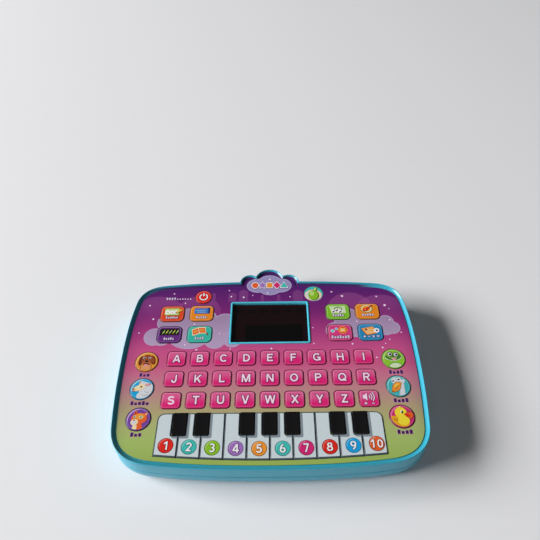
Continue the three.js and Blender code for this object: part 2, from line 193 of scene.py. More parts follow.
def bump_crossing():
    """Angles, seen from the lobe and from the crown, of the point where the two arcs cross."""
    dx, dy = LOBE[0] - CROWN[0], LOBE[1] - CROWN[1]
    distance = math.hypot(dx, dy)
    along = (distance ** 2 + CROWN[2] ** 2 - LOBE[2] ** 2) / (2 * distance)
    across = math.sqrt(CROWN[2] ** 2 - along ** 2)
    x = CROWN[0] + (along * dx - across * dy) / distance
    y = CROWN[1] + (along * dy + across * dx) / distance
    return [math.degrees(math.atan2(y - centre[1], x - centre[0])) for centre in (LOBE, CROWN)]


def case_outline(steps=22):
    """The case's outline, counter-clockwise from the middle of the front edge."""
    lobe_angle, crown_angle = bump_crossing()
    right = [(0, FRONT_Y)]
    curves = [
        [(32, FRONT_Y), (62, -92.6), (86, -89.7)],
        [(104.5, -87.4), (114.2, -77.6), (116.4, -63)],
        [(119, -40), (120, -18), (120, 8)],
        [(120, 26), (119, 42), (116.7, 55.3)],
        [(115, 67.5), (107, 74.3), (92.5, 75.6)],
        [(66, 78), (46, 78.6), (LOBE[0] + LOBE[2], 79)],
    ]
    for first, second, end in curves:
        right.extend(bezier(right[-1], first, second, end, steps))
    right.extend(arc(*LOBE, 4, lobe_angle, 16)[1:])
    right.extend(arc(*CROWN, crown_angle, 90, 14)[1:])
    return right + [(-x, y) for x, y in reversed(right[1:-1])]


def left_normal(start, end):
    """Unit vector to the left of the line, which is inwards on a counter-clockwise outline."""
    direction = (Vector(end) - Vector(start)).normalized()
    return Vector((-direction.y, direction.x))


def inset(points, distance):
    """A dense outline moved inwards."""
    result = []
    for i, point in enumerate(points):
        before = left_normal(points[i - 1], point)
        after = left_normal(point, points[(i + 1) % len(points)])
        mitre = (before + after) / max(0.4, 1 + before.dot(after))
        result.append(tuple(Vector(point) + mitre * distance))
    return result


def shrink_corners(corners, distance):
    """Corners (x, y, radius) moved inwards: convex ones tighten and concave ones open."""
    result = []
    for i, (x, y, radius) in enumerate(corners):
        before = left_normal(corners[i - 1][:2], (x, y))
        after = left_normal((x, y), corners[(i + 1) % len(corners)][:2])
        place = Vector((x, y)) + (before + after) / (1 + before.dot(after)) * distance
        convex = before.x * after.y - before.y * after.x > 0
        reach = radius - distance if convex else radius + distance
        result.append((place.x, place.y, max(reach, 0.05) if radius else 0))
    return result


def rounded(corners, distance=0.0, steps=5):
    """Outline through corners (x, y, radius), moved inwards by a distance."""
    corners = shrink_corners(corners, distance)
    points = []
    for i, (x, y, radius) in enumerate(corners):
        if not radius:
            points.append((x, y))
            continue
        here = Vector((x, y))
        start = here + (Vector(corners[i - 1][:2]) - here).normalized() * radius
        end = here + (Vector(corners[(i + 1) % len(corners)][:2]) - here).normalized() * radius
        points.append(tuple(start))
        points.extend(bezier(start, start.lerp(here, CURVE_PULL), end.lerp(here, CURVE_PULL), end, steps))
    return points


def rectangle(x, y, width, depth, radius=0.0):
    """Corners of a rectangle, for rounded()."""
    sides = ((-1, -1), (1, -1), (1, 1), (-1, 1))
    return [(x + sx * width / 2, y + sy * depth / 2, radius) for sx, sy in sides]


def cloud(lobes, sides=120):
    """Outline round a union of ellipses (x, y, half width, half depth), seen from their middle."""
    middle_x = sum(lobe[0] for lobe in lobes) / len(lobes)
    middle_y = sum(lobe[1] for lobe in lobes) / len(lobes)
    points = []
    for i in range(sides):
        angle = 2 * math.pi * i / sides
        reach = 0
        for x, y, half_width, half_depth in lobes:
            ray = Vector((math.cos(angle) / half_width, math.sin(angle) / half_depth))
            offset = Vector(((x - middle_x) / half_width, (y - middle_y) / half_depth))
            along = ray.dot(offset)
            spare = along ** 2 - ray.length_squared * (offset.length_squared - 1)
            if spare > 0:
                reach = max(reach, (along + math.sqrt(spare)) / ray.length_squared)
        points.append((middle_x + math.cos(angle) * reach, middle_y + math.sin(angle) * reach))
    return points


def stroke(points, half, extra=0.0):
    """Outline of a line through points, of that half width, with square ends made longer by extra."""
    points = [Vector(p) for p in points]
    points[0] += (points[0] - points[1]).normalized() * extra
    points[-1] += (points[-1] - points[-2]).normalized() * extra
    normals = [left_normal(a, b) for a, b in zip(points, points[1:])]
    right, left = [], []
    for point, before, after in zip(points, normals[:1] + normals, normals + normals[-1:]):
        mitre = (before + after) / (1 + before.dot(after)) * half
        right.append(tuple(point - mitre))
        left.append(tuple(point + mitre))
    return right + left[::-1]


def moved(points, x, y):
    return [(px + x, py + y) for px, py in points]


def held_in(points, radius):
    """Points outside a circle about the origin, pulled back onto it."""
    scales = [min(1, radius / max(math.hypot(x, y), 1e-6)) for x, y in points]
    return [(x * s, y * s) for (x, y), s in zip(points, scales)]


# ---------------------------------------------------------------- solids


def upward(points, corners):
    """The triangle's corners in counter-clockwise order."""
    (ax, ay), (bx, by), (cx, cy) = (points[c] for c in corners)
    turn = (bx - ax) * (cy - ay) - (by - ay) * (cx - ax)
    return tuple(corners) if turn > 0 else tuple(reversed(corners))


def triangles_between(loops):
    """Counter-clockwise triangles that fill the first loop and leave the others open."""
    flat = [p for loop in loops for p in loop]
    flat_loops = [[Vector((x, y, 0)) for x, y in loop] for loop in loops]
    return [upward(flat, corners) for corners in tessellate_polygon(flat_loops)]


def rings_of(shape, finish, profile):
    """Rings (outline, height, finish) of a shape, which is a function of the distance inwards.
    Profile points are (distance, height), with a third item where the finish is another one."""
    return [(shape(distance), z, *(own or [finish])) for distance, z, *own in profile]


def add_object(name, data, place=(0, 0, 0)):
    thing = bpy.data.objects.new(name, data)
    thing.location = Vector(place) * MM
    bpy.context.scene.collection.objects.link(thing)
    return thing


def add_piece(name, data, body, slot, replaces=None, place=(0, 0, 0)):
    """Adds a piece that rides on a body and may stand for a CAD node, which it hides. The slot argument is not
    used.
    """
    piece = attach(add_object(name, data, place), body)
    if replaces:
        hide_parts(replaces)


class Solid:
    """Closed shapes gathered for one Blender object. Each face names its finish."""

    def __init__(self):
        self.points = []
        self.faces = []
        self.finishes = []

    def face(self, corners, finish):
        self.faces.append(tuple(corners))
        self.finishes.append(finish)

    def wall(self, low, high, finish):
        """Faces between two rings of point numbers."""
        for i, a in enumerate(low):
            j = (i + 1) % len(low)
            self.face((a, low[j], high[j], high[i]), finish)

    def ring(self, outline, z):
        """Adds an outline at a height and returns its point numbers."""
        first = len(self.points)
        self.points.extend((x, y, z) for x, y in outline)
        return list(range(first, len(self.points)))

    def loft(self, rings, holes=()):
        """A skin through rings (outline, height, finish), capped at both ends.
        Holes are outlines that go straight through both caps."""
        levels = [self.ring(outline, z) for outline, z, _ in rings]
        for low, high, (_, _, finish) in zip(levels, levels[1:], rings[1:]):
            self.wall(low, high, finish)
        if not holes:
            self.face(reversed(levels[0]), rings[0][2])
            self.face(levels[-1], rings[-1][2])
            return
        bottoms = [self.ring(hole, rings[0][1]) for hole in holes]
        tops = [self.ring(hole, rings[-1][1]) for hole in holes]
        for a, b, c in triangles_between([rings[0][0], *holes]):
            numbers = [n for loop in (levels[0], *bottoms) for n in loop]
            self.face((numbers[a], numbers[c], numbers[b]), rings[0][2])
        for a, b, c in triangles_between([rings[-1][0], *holes]):
            numbers = [n for loop in (levels[-1], *tops) for n in loop]
            self.face((numbers[a], numbers[b], numbers[c]), rings[-1][2])
        for low, high in zip(bottoms, tops):
            self.wall(high, low, rings[0][2])

    def band(self, rings):
        """A skin through rings that closes on itself, such as a tube's wall."""
        levels = [self.ring(outline, z) for outline, z, _ in rings]
        for i, (_, _, finish) in enumerate(rings):
            self.wall(levels[i - 1], levels[i], finish)

    def prism(self, outline, bottom, top, finish, holes=()):
        self.loft([(outline, bottom, finish), (outline, top, finish)], holes)

    def raised(self, points, triangles, bottom, top, finish):
        """Thickens flat triangles into a closed plate."""
        low = self.ring(points, bottom)
        high = self.ring(points, top)
        edges = set()
        for a, b, c in (upward(points, corners) for corners in triangles):
            self.face((low[a], low[c], low[b]), finish)
            self.face((high[a], high[b], high[c]), finish)
            edges.update(((a, b), (b, c), (c, a)))
        for a, b in edges:
            if (b, a) not in edges:
                self.face((low[a], low[b], high[b], high[a]), finish)

    def stack(self, corners, finish, profile, holes=()):
        """A skin through rounded corners moved inwards by a profile, as in rings_of."""
        self.loft(rings_of(partial(rounded, corners), finish, profile), holes)

    def lathe(self, x, y, finish, profile, sides=40, closed=False):
        """A round shape about a vertical axis. Profile points are as in rings_of, with radii."""
        rings = rings_of(lambda radius: circle(x, y, radius, sides), finish, profile)
        (self.band if closed else self.loft)(rings)

    def pipe(self, x, y, finish, inner, outer, bottom, top, sides=40):
        profile = [(inner, bottom), (outer, bottom), (outer, top), (inner, top)]
        self.lathe(x, y, finish, profile, sides, closed=True)

    def build(self, name, body, slot, replaces=None, origin=(0, 0, 0), smooth=32):
        """Makes the piece, with its origin at a point."""
        used = list(dict.fromkeys(self.finishes))
        mesh = bpy.data.meshes.new(name)
        mesh.from_pydata([(Vector(p) - Vector(origin)) * MM for p in self.points], [], self.faces)
        for finish in used:
            mesh.materials.append(finishes[finish])
        mesh.polygons.foreach_set("material_index", [used.index(f) for f in self.finishes])
        mesh.polygons.foreach_set("use_smooth", [True] * len(self.faces))
        mesh.set_sharp_from_angle(angle=math.radians(smooth))
        add_piece(name, mesh, body, slot, replaces, origin)


def bow(x, y, half_width, half_depth, start, end, steps=14):
    """Points of an elliptical arc, in degrees."""
    return [(x + px * half_width, y + py * half_depth) for px, py in arc(0, 0, 1, start, end, steps)]


def loop(x, y, half_width, half_depth, steps=14):
    """An ellipse as two strokes."""
    return [bow(x, y, half_width, half_depth, start, start + 180, steps) for start in (90, 270)]


# Characters as strokes, with 0 and 1 the foot and head of a capital
STEM = ((0.09, -0.1), (0.09, 1.1))
BOWL = ((0.05, 0.91), (0.44, 0.91), *bow(0.44, 0.69, 0.25, 0.22, 80, -80), (0.44, 0.47), (0.05, 0.47))
CHARACTERS = {
    "A": [((0.0, -0.2), (0.5, 1.2)), ((0.9, -0.2), (0.4, 1.2)), ((0.18, 0.3), (0.72, 0.3))],
    "B": [STEM, ((0.05, 0.91), (0.42, 0.91), *bow(0.42, 0.72, 0.2, 0.19, 80, -80), (0.42, 0.53), (0.05, 0.53)),
          ((0.05, 0.53), (0.46, 0.53), *bow(0.46, 0.31, 0.24, 0.22, 80, -80), (0.46, 0.09), (0.05, 0.09))],
    "C": [bow(0.46, 0.5, 0.37, 0.42, 38, 322, 24)],
    "D": [STEM, ((0.05, 0.91), (0.34, 0.91), *bow(0.34, 0.5, 0.42, 0.41, 80, -80), (0.34, 0.09), (0.05, 0.09))],
    "E": [STEM, ((0.05, 0.91), (0.72, 0.91)), ((0.05, 0.52), (0.66, 0.52)), ((0.05, 0.09), (0.74, 0.09))],
    "F": [STEM, ((0.05, 0.91), (0.7, 0.91)), ((0.05, 0.5), (0.6, 0.5))],
    "G": [bow(0.47, 0.5, 0.38, 0.42, 40, 318, 24), ((0.5, 0.44), (0.92, 0.44)), ((0.83, 0.5), (0.83, 0.04))],
    "H": [STEM, ((0.75, -0.1), (0.75, 1.1)), ((0.05, 0.52), (0.8, 0.52))],
    "I": [STEM],
    "J": [((0.55, 1.1), (0.55, 0.34), *bow(0.32, 0.33, 0.23, 0.25, -8, -172), (0.09, 0.38))],
    "K": [STEM, ((0.1, 0.28), (0.86, 1.12)), ((0.32, 0.58), (0.82, -0.14))],
    "L": [STEM, ((0.05, 0.09), (0.68, 0.09))],
    "M": [STEM, ((0.93, -0.1), (0.93, 1.1)), ((0.09, 1.15), (0.55, -0.12)), ((0.93, 1.15), (0.47, -0.12))],
    "N": [STEM, ((0.75, -0.1), (0.75, 1.1)), ((0.03, 1.12), (0.81, -0.12))],
    "O": loop(0.48, 0.5, 0.39, 0.42, 20),
    "P": [STEM, BOWL],
    "Q": [*loop(0.48, 0.5, 0.39, 0.42, 20), ((0.55, 0.3), (0.93, -0.03))],
    "R": [STEM, BOWL, ((0.4, 0.5), (0.76, -0.15))],
    "S": [(*bow(0.41, 0.715, 0.29, 0.2, 22, 262), *bow(0.41, 0.295, 0.31, 0.21, 82, -158))],
    "T": [((0, 0.91), (0.8, 0.91)), ((0.4, -0.1), (0.4, 1))],
    "U": [((0.09, 1.1), (0.09, 0.4), *bow(0.42, 0.4, 0.33, 0.32, 188, 352), (0.75, 0.4), (0.75, 1.1))],
    "V": [((0.04, 1.15), (0.47, -0.15)), ((0.82, 1.15), (0.39, -0.15))],
    "W": [((0.05, 1.15), (0.36, -0.15)), ((0.67, 1.15), (0.28, -0.15)),
          ((0.57, 1.15), (0.96, -0.15)), ((1.19, 1.15), (0.88, -0.15))],
    "X": [((0.02, -0.1), (0.84, 1.1)), ((0.84, -0.1), (0.02, 1.1))],
    "Y": [((0.43, -0.1), (0.43, 0.46)), ((0.46, 0.36), (0.02, 1.12)), ((0.4, 0.36), (0.84, 1.12))],
    "Z": [((0.03, 0.91), (0.72, 0.91)), ((0.02, 0.09), (0.75, 0.09)), ((0.09, 0.05), (0.65, 0.95))],
    "0": loop(0.33, 0.5, 0.24, 0.42, 20),
    "1": [((0.34, -0.1), (0.34, 1.1)), ((0.04, 0.7), (0.4, 0.93))],
    "2": [(*bow(0.33, 0.7, 0.24, 0.22, 172, -28), (0.11, 0.06)), ((0.03, 0.09), (0.6, 0.09))],
    "3": [bow(0.31, 0.72, 0.22, 0.2, 155, -100), bow(0.31, 0.3, 0.25, 0.21, 100, -155)],
    "4": [((0.46, -0.1), (0.46, 1.1)), ((0, 0.27), (0.66, 0.27)), ((0.0, 0.22), (0.48, 1.06))],
    "5": [((0.1, 0.91), (0.58, 0.91)), ((0.18, 0.95), (0.12, 0.46)), bow(0.31, 0.34, 0.26, 0.25, 140, -155)],
    "6": [*loop(0.33, 0.32, 0.24, 0.23), bow(0.5, 0.34, 0.41, 0.59, 180, 100)],
    "7": [((0.02, 0.91), (0.6, 0.91)), ((0.56, 0.95), (0.22, -0.12))],
    "8": [*loop(0.33, 0.72, 0.2, 0.19), *loop(0.33, 0.3, 0.25, 0.21)],
    "9": [*loop(0.31, 0.68, 0.24, 0.23), bow(0.14, 0.66, 0.41, 0.59, 0, -80)],
    "+": [((0, 0.5), (0.66, 0.5)), ((0.33, 0.17), (0.33, 0.83))],
    "-": [((0, 0.5), (0.56, 0.5))],
    "=": [((0, 0.36), (0.62, 0.36)), ((0, 0.66), (0.62, 0.66))],
    "x": [((0.05, 0.24), (0.55, 0.76)), ((0.55, 0.24), (0.05, 0.76))],
}


def merged(polygons, window=None):
    """Points and triangles that cover all the polygons together, cut to a window."""
    points, faces = [], []
    for loop in [*polygons, *([window] if window else [])]:
        faces.append(list(range(len(points), len(points) + len(loop))))
        points.extend(Vector(p) for p in loop)
    places, _, triangles, _, _, owners = delaunay_2d_cdt(points, [], faces, 0, 1e-6)
    count = len(polygons)
    used, kept = {}, []
    for corners, owner in zip(triangles, owners):
        if any(number < count for number in owner) and (not window or count in owner):
            kept.append([used.setdefault(c, len(used)) for c in corners])
    return [tuple(places[c]) for c in used], kept


def character(text, margin):
    """Points and triangles of a word of characters, with its middle at 0, grown by a margin."""
    half = 0.092
    polygons, start = [], 0
    for letter in text:
        strokes = CHARACTERS[letter]
        polygons += [moved(stroke(line, half + margin, margin), start, 0) for line in strokes]
        start += 0.74
    window = [(-1, -margin), (4, -margin), (4, 1 + margin), (-1, 1 + margin)]
    points, triangles = merged(polygons, window)
    middle = (min(x for x, _ in points) + max(x for x, _ in points)) / 2
    return moved(points, -middle, -0.5), triangles


class Print:
    """Raised print about a place on a surface. Each shape covers the ones before it."""

    def __init__(self, solid, x, y, z, keep=None):
        self.solid, self.x, self.y, self.z, self.keep = solid, x, y, z, keep
        self.count = 0

    def heights(self):
        self.count += 1
        return self.z - INK - self.count * INK_STEP / 10, self.z + INK + self.count * INK_STEP

    def shape(self, ink, points):
        points = held_in(points, self.keep) if self.keep else points
        self.solid.prism(moved(points, self.x, self.y), *self.heights(), "ink_" + ink)

    def oval(self, ink, x, y, width, depth, turn=0):
        self.shape(ink, ellipse(x, y, width, depth, turn, 32 if width > 2 else 18))

    def box(self, ink, x, y, width, depth, radius=0, turn=0):
        self.shape(ink, turned(rounded(rectangle(0, 0, width, depth, radius)), turn, x, y))

    def text(self, ink, text, x, y, height, margin=0.0, squeeze=1.0):
        points, triangles = character(text, margin)
        points = [(self.x + x + px * height * squeeze, self.y + y + py * height) for px, py in points]
        self.solid.raised(points, triangles, *self.heights(), "ink_" + ink)

    def marks(self, ink, edge, count, y, pitch=1.8, height=2.4):
        """A row of upright marks that stands in for a word."""
        for colour, grow in ((edge, 0.5), (ink, 0)):
            for i in range(count):
                tall = height * (1, 0.66, 0.82)[i % 3]
                place = (i - (count - 1) / 2) * pitch
                low = y - (height - tall) / 2
                self.box(colour, place, low, pitch * 0.66 + grow, tall + grow, 0.3 + grow / 2)

    def crescent(self, ink, radius, width):
        """A light edge at the upper left of a disc."""
        shift = width * 0.7
        inner = arc(shift, -shift, radius, 196, 92, 18)
        self.shape(ink, arc(0, 0, radius, 100, 188, 18) + inner)


# ---------------------------------------------------------------- shaders


def linear(colour):
    """A colour of 0 to 255 values as the linear RGBA that shaders take."""
    shares = [value / 255 for value in colour]
    channels = [s / 12.92 if s <= 0.04045 else ((s + 0.055) / 1.055) ** 2.4 for s in shares]
    return (*channels, 1.0)


def shade(colour, factor):
    """A darker colour for a factor under 1, and one nearer white above 1."""
    if factor <= 1:
        return tuple(value * factor for value in colour)
    return tuple(value + (255 - value) * (factor - 1) for value in colour)


class Nodes:
    """A node tree filled by short calls. All but node() return an output socket."""

    def __init__(self, tree):
        self.tree = tree

    def link(self, value, socket):
        if isinstance(value, bpy.types.NodeSocket):
            self.tree.links.new(value, socket)
        else:
            socket.default_value = value

    def node(self, kind, *values, **settings):
        """A new node. The values go to its first inputs; None leaves an input alone."""
        node = self.tree.nodes.new("ShaderNode" + kind)
        for name, setting in settings.items():
            setattr(node, name, setting)
        for value, socket in zip(values, node.inputs):
            if value is not None:
                self.link(value, socket)
        return node

    def math(self, operation, *values, clamp=False):
        return self.node("Math", *values, operation=operation, use_clamp=clamp).outputs[0]

    def times(self, first, second):
        return self.math("MULTIPLY", first, second)

    def vector(self, operation, *values):
        node = self.node("VectorMath", *values, operation=operation)
        return node.outputs["Value" if operation in ("LENGTH", "DISTANCE") else 0]

    def mix(self, factor, first, second, blend="MIX"):
        node = self.node("Mix", factor, data_type="RGBA", blend_type=blend)
        self.link(first, node.inputs[6])
        self.link(second, node.inputs[7])
        return node.outputs[2]

    def step(self, value, *limits):
        """0 below the first limit, 1 above the second, and smooth between."""
        return self.node("MapRange", value, *limits, interpolation_type="SMOOTHSTEP").outputs[0]

    def between(self, value, low, high, soft):
        """1 from low to high with soft edges, and 0 outside."""
        rise = self.step(value, low, low + soft)
        return self.math("SUBTRACT", rise, self.step(value, high - soft, high), clamp=True)


class Shader(Nodes):
    """A material. Its x, y and z are the object's own coordinates in millimetres."""

    def __init__(self, name):
        self.name = name
        self.material = bpy.data.materials.new(name)
        self.material.use_nodes = True
        super().__init__(self.material.node_tree)
        self.surface = self.tree.nodes["Principled BSDF"]
        coordinates = self.node("TexCoord").outputs["Object"]
        self.place = self.vector("SCALE", coordinates, None, None, 1 / MM)
        self.x, self.y, self.z = self.node("SeparateXYZ", self.place).outputs

    def noise(self, scale, detail=3.0):
        """Smooth noise about 0.5, with about scale features in each millimetre."""
        return self.node("TexNoise", self.place, None, scale, detail).outputs[0]

    def ramp(self, value, low, high, stops):
        """Colours (value, colour) blended along a range of a value."""
        reach = high - low
        node = self.node("ValToRGB", self.math("MULTIPLY_ADD", value, 1 / reach, -low / reach))
        elements = node.color_ramp.elements
        while len(elements) < len(stops):
            elements.new(0.5)
        for element, (place, colour) in zip(elements, stops):
            element.position = (place - low) / reach
            element.color = linear(colour)
        return node.outputs[0]

    def flat_place(self):
        return self.vector("MULTIPLY", self.place, (1, 1, 0))

    def circle_distance(self, x, y, radius):
        """Distance outside a circle, negative inside."""
        return self.math("SUBTRACT", self.vector("DISTANCE", self.flat_place(), (x, y, 0)), radius)

    def box_distance(self, width, depth, radius):
        """Distance outside a rounded rectangle about the origin, negative inside."""
        size = (width / 2 - radius, depth / 2 - radius, 0)
        over = self.vector("SUBTRACT", self.vector("ABSOLUTE", self.flat_place()), size)
        outside = self.vector("LENGTH", self.vector("MAXIMUM", over, (0, 0, 0)))
        across, along, _ = self.node("SeparateXYZ", over).outputs
        inside = self.math("MINIMUM", self.math("MAXIMUM", across, along), 0.0)
        return self.math("SUBTRACT", self.math("ADD", outside, inside), radius)

    def finish(self, colour, roughness, mottle=0.06, grain=2.5, bump=0.04, coat=0.0, metal=0.0, uneven=0.22):
        """Sets the surface: mottled colour, uneven roughness and a fine moulded grain."""
        clouding = self.times(self.noise(0.08, 2.0), 0.7)
        tone = self.math("ADD", clouding, self.times(self.noise(grain * 1.7, 2.0), 0.3))
        level = self.math("MULTIPLY_ADD", tone, 2 * mottle, 1 - mottle)
        grey = self.node("CombineColor", level, level, level).outputs[0]
        rough = self.math("MULTIPLY_ADD", self.noise(0.35, 4.0), uneven, roughness - uneven / 2, clamp=True)
        dents = self.node("Bump", bump, 0.1 * MM)
        self.link(self.noise(grain), dents.inputs["Height"])
        settings = {
            "Base Color": self.mix(1.0, colour, grey, "MULTIPLY"), "Roughness": rough,
            "Normal": dents.outputs[0], "Metallic": metal, "Coat Weight": coat, "Coat Roughness": 0.12,
        }
        for socket, value in settings.items():
            self.link(value, self.surface.inputs[socket])
        finishes[self.name] = self.material


def key_face(name, colour, edge_distance, gloss=None):
    """A key's printed face: a dark outline, a light line inside it and a pale upper part."""
    shader = Shader(name)
    depth = shader.times(edge_distance(shader), -1.0)
    base = linear(colour)
    if gloss:
        wave = shader.math("SINE", shader.times(shader.x, 0.42))
        height = shader.math("MULTIPLY_ADD", wave, -1.0, shader.y)
        base = shader.mix(shader.times(shader.step(height, -3.2, 3.4), 0.32), base, linear(gloss))
    towards_light = shader.math("MULTIPLY_ADD", shader.x, -0.4, shader.y)
    strength = shader.math("MULTIPLY_ADD", shader.step(towards_light, -4.0, 6.0), 0.38, 0.16)
    line = shader.times(shader.between(depth, 0.75, 1.75, 0.4), strength)
    base = shader.mix(line, base, linear(shade(colour, 1.6)))
    edge = shader.math("SUBTRACT", 1.0, shader.step(depth, 0.6, 1.0))
    base = shader.mix(edge, base, linear(shade(colour, 0.62)))
    shader.finish(base, 0.36, 0.03, 3.0, 0.03, 0.1)


def rim_face():
    """The rim in the case's colour. Low on its inner slope at the back it is painted violet: a painted shadow
    with a painted reflection of the panel in it.
    """
    shader = Shader("rim_cyan")
    # Mask of the painted shade and reflection: the low part of the inner slope, at the back of the case.
    low = shader.math("SUBTRACT", 1.0, shader.step(shader.z, RIM_Z - 1.35, RIM_Z - 0.95))
    back = shader.times(shader.step(shader.y, 64, 74), shader.step(shader.x, 96, 78))
    base = shader.mix(shader.times(low, back), linear(CASE_CYAN), linear((64, 28, 96)))
    shader.finish(base, *CASE_SURFACE)


# Heights along the panel and the colours printed there
SKY = [
    (-90, (154, 178, 88)), (-72, (166, 190, 106)), (-58, (176, 182, 118)), (-47, (180, 164, 124)),
    (-40, (186, 153, 134)), (-30, (194, 135, 140)), (-18, (204, 116, 144)), (-8, (206, 92, 138)),
    (6, (203, 84, 140)), (20, (180, 66, 132)), (32, (156, 52, 124)), (44, (126, 38, 116)),
    (60, (106, 34, 114)), (74, (86, 30, 110)), (88, (70, 28, 102)),
]
# Discs (x, y, radius) that make up the clouds and the hills
LEFT_CLOUD = (
    (-87, 35, 9), (-96.5, 20.3, 8.8), (-67.3, 29.1, 21.4), (-56, 38, 11), (-38, 33, 11),
    (-45.5, 17, 9.2), (-31, 17, 8), (-84, 24, 10), (-90, 20, 8.6),
)
RIGHT_CLOUD = (
    (66, 37, 11.5), (56, 24.5, 9), (72, 27, 9.3), (84, 33, 11), (98.5, 33.5, 6.6), (97, 27.5, 8.3),
    (103, 27, 6.5), (89, 30, 10),
)
HILLS = ((-98, 36, 28), (-62, 44, 20), (97, 37, 26), (70, 46, 20))


def panel_print():
    """The panel's print: violet night at the back through pink and tan to green at the front,
    with pale hills and two lilac clouds under a glossy film."""
    shader = Shader("overlay_print")
    x, y, step, mix = shader.x, shader.y, shader.step, shader.mix
    sky = shader.ramp(y, -95, 90, SKY)
    for hill in HILLS:
        share = shader.times(step(shader.circle_distance(*hill), 0.4, -0.4), step(y, 28.0, 60.0))
        sky = mix(shader.times(share, 0.2), sky, linear((200, 110, 176)))
    # Darker violet towards the side and back edges of the film, next to the rim.
    across = shader.math("POWER", shader.math("ABSOLUTE", shader.math("DIVIDE", x, 118.0)), 8.0)
    along = shader.math("POWER", shader.math("MAXIMUM", shader.math("DIVIDE", y, 84.0), 0.0), 8.0)
    edge = step(shader.math("ADD", across, along), 0.25, 1.0)
    sky = mix(shader.times(edge, 0.3), sky, linear((60, 20, 84)))
    for lobes in (LEFT_CLOUD, RIGHT_CLOUD):
        distance = 100.0
        for lobe in lobes:
            distance = shader.math("MINIMUM", distance, shader.circle_distance(*lobe))
        inner = mix(step(y, 10.0, 44.0), linear((184, 160, 196)), linear((164, 138, 172)))
        rim = mix(step(distance, -1.4, 0.0), inner, linear((188, 166, 200)))
        sky = mix(step(distance, 0.15, -0.15), sky, rim)
    shader.finish(sky, 0.3, 0.02, 0.7, 0.006, 0.3, uneven=0.06)


def lens_face():
    """The display's dark window, with the LED module behind it showing as a blacker patch."""
    shader = Shader("lens_dark")
    across = shader.between(shader.x, -21.0, 28.0, 0.5)
    module = shader.times(across, shader.between(shader.y, 13.0, 33.0, 0.5))
    slots = shader.between(shader.math("PINGPONG", shader.x, 5.2), 1.4, 6.0, 0.4)
    row = shader.times(slots, shader.between(shader.y, 45.0, 49.0, 0.4))
    dark = shader.math("MAXIMUM", module, shader.times(row, 0.75))
    base = shader.mix(dark, linear((26, 11, 14)), linear((10, 9, 10)))
    shader.finish(base, 0.16, 0.05, 0.5, 0.006, 0.1, uneven=0.06)


MODE_COLOURS = {
    "red": (226, 72, 34), "orange": (236, 138, 30), "purple": (106, 44, 130), "teal": (52, 186, 166),
    "green": (130, 192, 44), "pink": (216, 58, 128), "blue": (34, 138, 190),
}
DISC_COLOURS = {
    "orange": (232, 150, 40), "sky": (16, 164, 218), "purple": (116, 66, 160),
    "green": (142, 200, 44), "teal": (62, 178, 184), "magenta": (204, 34, 112),
}
# Finishes of one colour: colour, roughness, mottle, grain, bump, coat and metal
PLAIN_FINISHES = {
    "case_inside": ((44, 160, 180), 0.5, 0.05, 1.2, 0.12),
    "piano_white": ((208, 220, 224), 0.3, 0.03, 2.0, 0.03, 0.3),
    "piano_black": ((20, 18, 20), 0.2, 0.2, 1.2, 0.03, 0.5),
    "silicone": ((216, 216, 208), 0.65, 0.05, 2.2, 0.12),
    "circuit_board": ((28, 104, 58), 0.45, 0.1, 0.6, 0.1),
    "speaker_frame": ((34, 34, 36), 0.5, 0.15, 1.8, 0.2),
    "speaker_cone": ((62, 60, 58), 0.85, 0.2, 2.6, 0.5),
    "screw_steel": ((176, 178, 182), 0.32, 0.1, 4.0, 0.15, 0.0, 1.0),
    "foot_rubber": ((52, 54, 58), 0.8, 0.15, 3.5, 0.4),
    "wire_red": ((196, 34, 30), 0.45, 0.08),
    "wire_black": ((26, 26, 28), 0.45, 0.12),
    "led_off": ((120, 40, 36), 0.4, 0.1),
    "case_cyan": (CASE_CYAN, *CASE_SURFACE),
    # The display frame is the case's plastic made lighter: a painted sheen on its flat top.
    "frame_cyan": ((88, 208, 232), *CASE_SURFACE),
}


def make_key_finishes():
    def box(node, corner):
        _, _, width, depth, _ = cap_size(node)
        return partial(Shader.box_distance, width=width, depth=depth, radius=corner)

    def disc(radius):
        return partial(Shader.circle_distance, x=0, y=0, radius=radius)

    key_face("letter_pink", (222, 34, 118), box("key_a", LETTER_CORNER), (222, 150, 190))
    for name, colour in MODE_COLOURS.items():
        key_face("mode_" + name, colour, box("mode_key_word", MODE_CORNER))
    for name, colour in DISC_COLOURS.items():
        key_face("disc_" + name, colour, disc(ANIMAL_R))
    key_face("power_red", (226, 40, 34), disc(POWER_R))


def make_finishes():
    inks = dict(PLAIN_INKS)
    for name, colour in PALETTE.items():
        inks.update({name: colour, "light_" + name: shade(colour, 1.4), "dark_" + name: shade(colour, 0.62)})
    plain = {"ink_" + name: (colour, 0.34, 0.02, 3.0, 0.02, 0.15) for name, colour in inks.items()}
    for name, (colour, *surface) in (plain | PLAIN_FINISHES).items():
        Shader(name).finish(linear(colour), *surface)
    panel_print()
    make_key_finishes()
    rim_face()
    lens_face()


# ---------------------------------------------------------------- places from the frame


def cap_size(node):
    """Middle x and y, width, depth and top height of a key's cap, without its hidden flange."""
    low, high = (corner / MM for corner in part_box(node))
    middle = (low + high) / 2
    size = high - low
    return middle.x, middle.y, size.x - 2 * FLANGE_REACH, size.y - 2 * FLANGE_REACH, high.z


OVERLAY_Z, OVERLAY_TOP_Z = (corner.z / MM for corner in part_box("graphic_overlay"))
LENS_TOP_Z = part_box("display_lens")[1].z / MM
LETTER_NODES = {"key_" + letter.lower(): letter for letter in string.ascii_uppercase}
MODE_NODES = {"mode_key_" + name: "mode_" + colour for name, colour in (
    ("letter", "red"), ("word", "orange"), ("spell", "purple"), ("read", "teal"),
    ("song", "green"), ("music", "orange"), ("question", "pink"), ("math", "blue"),
)}
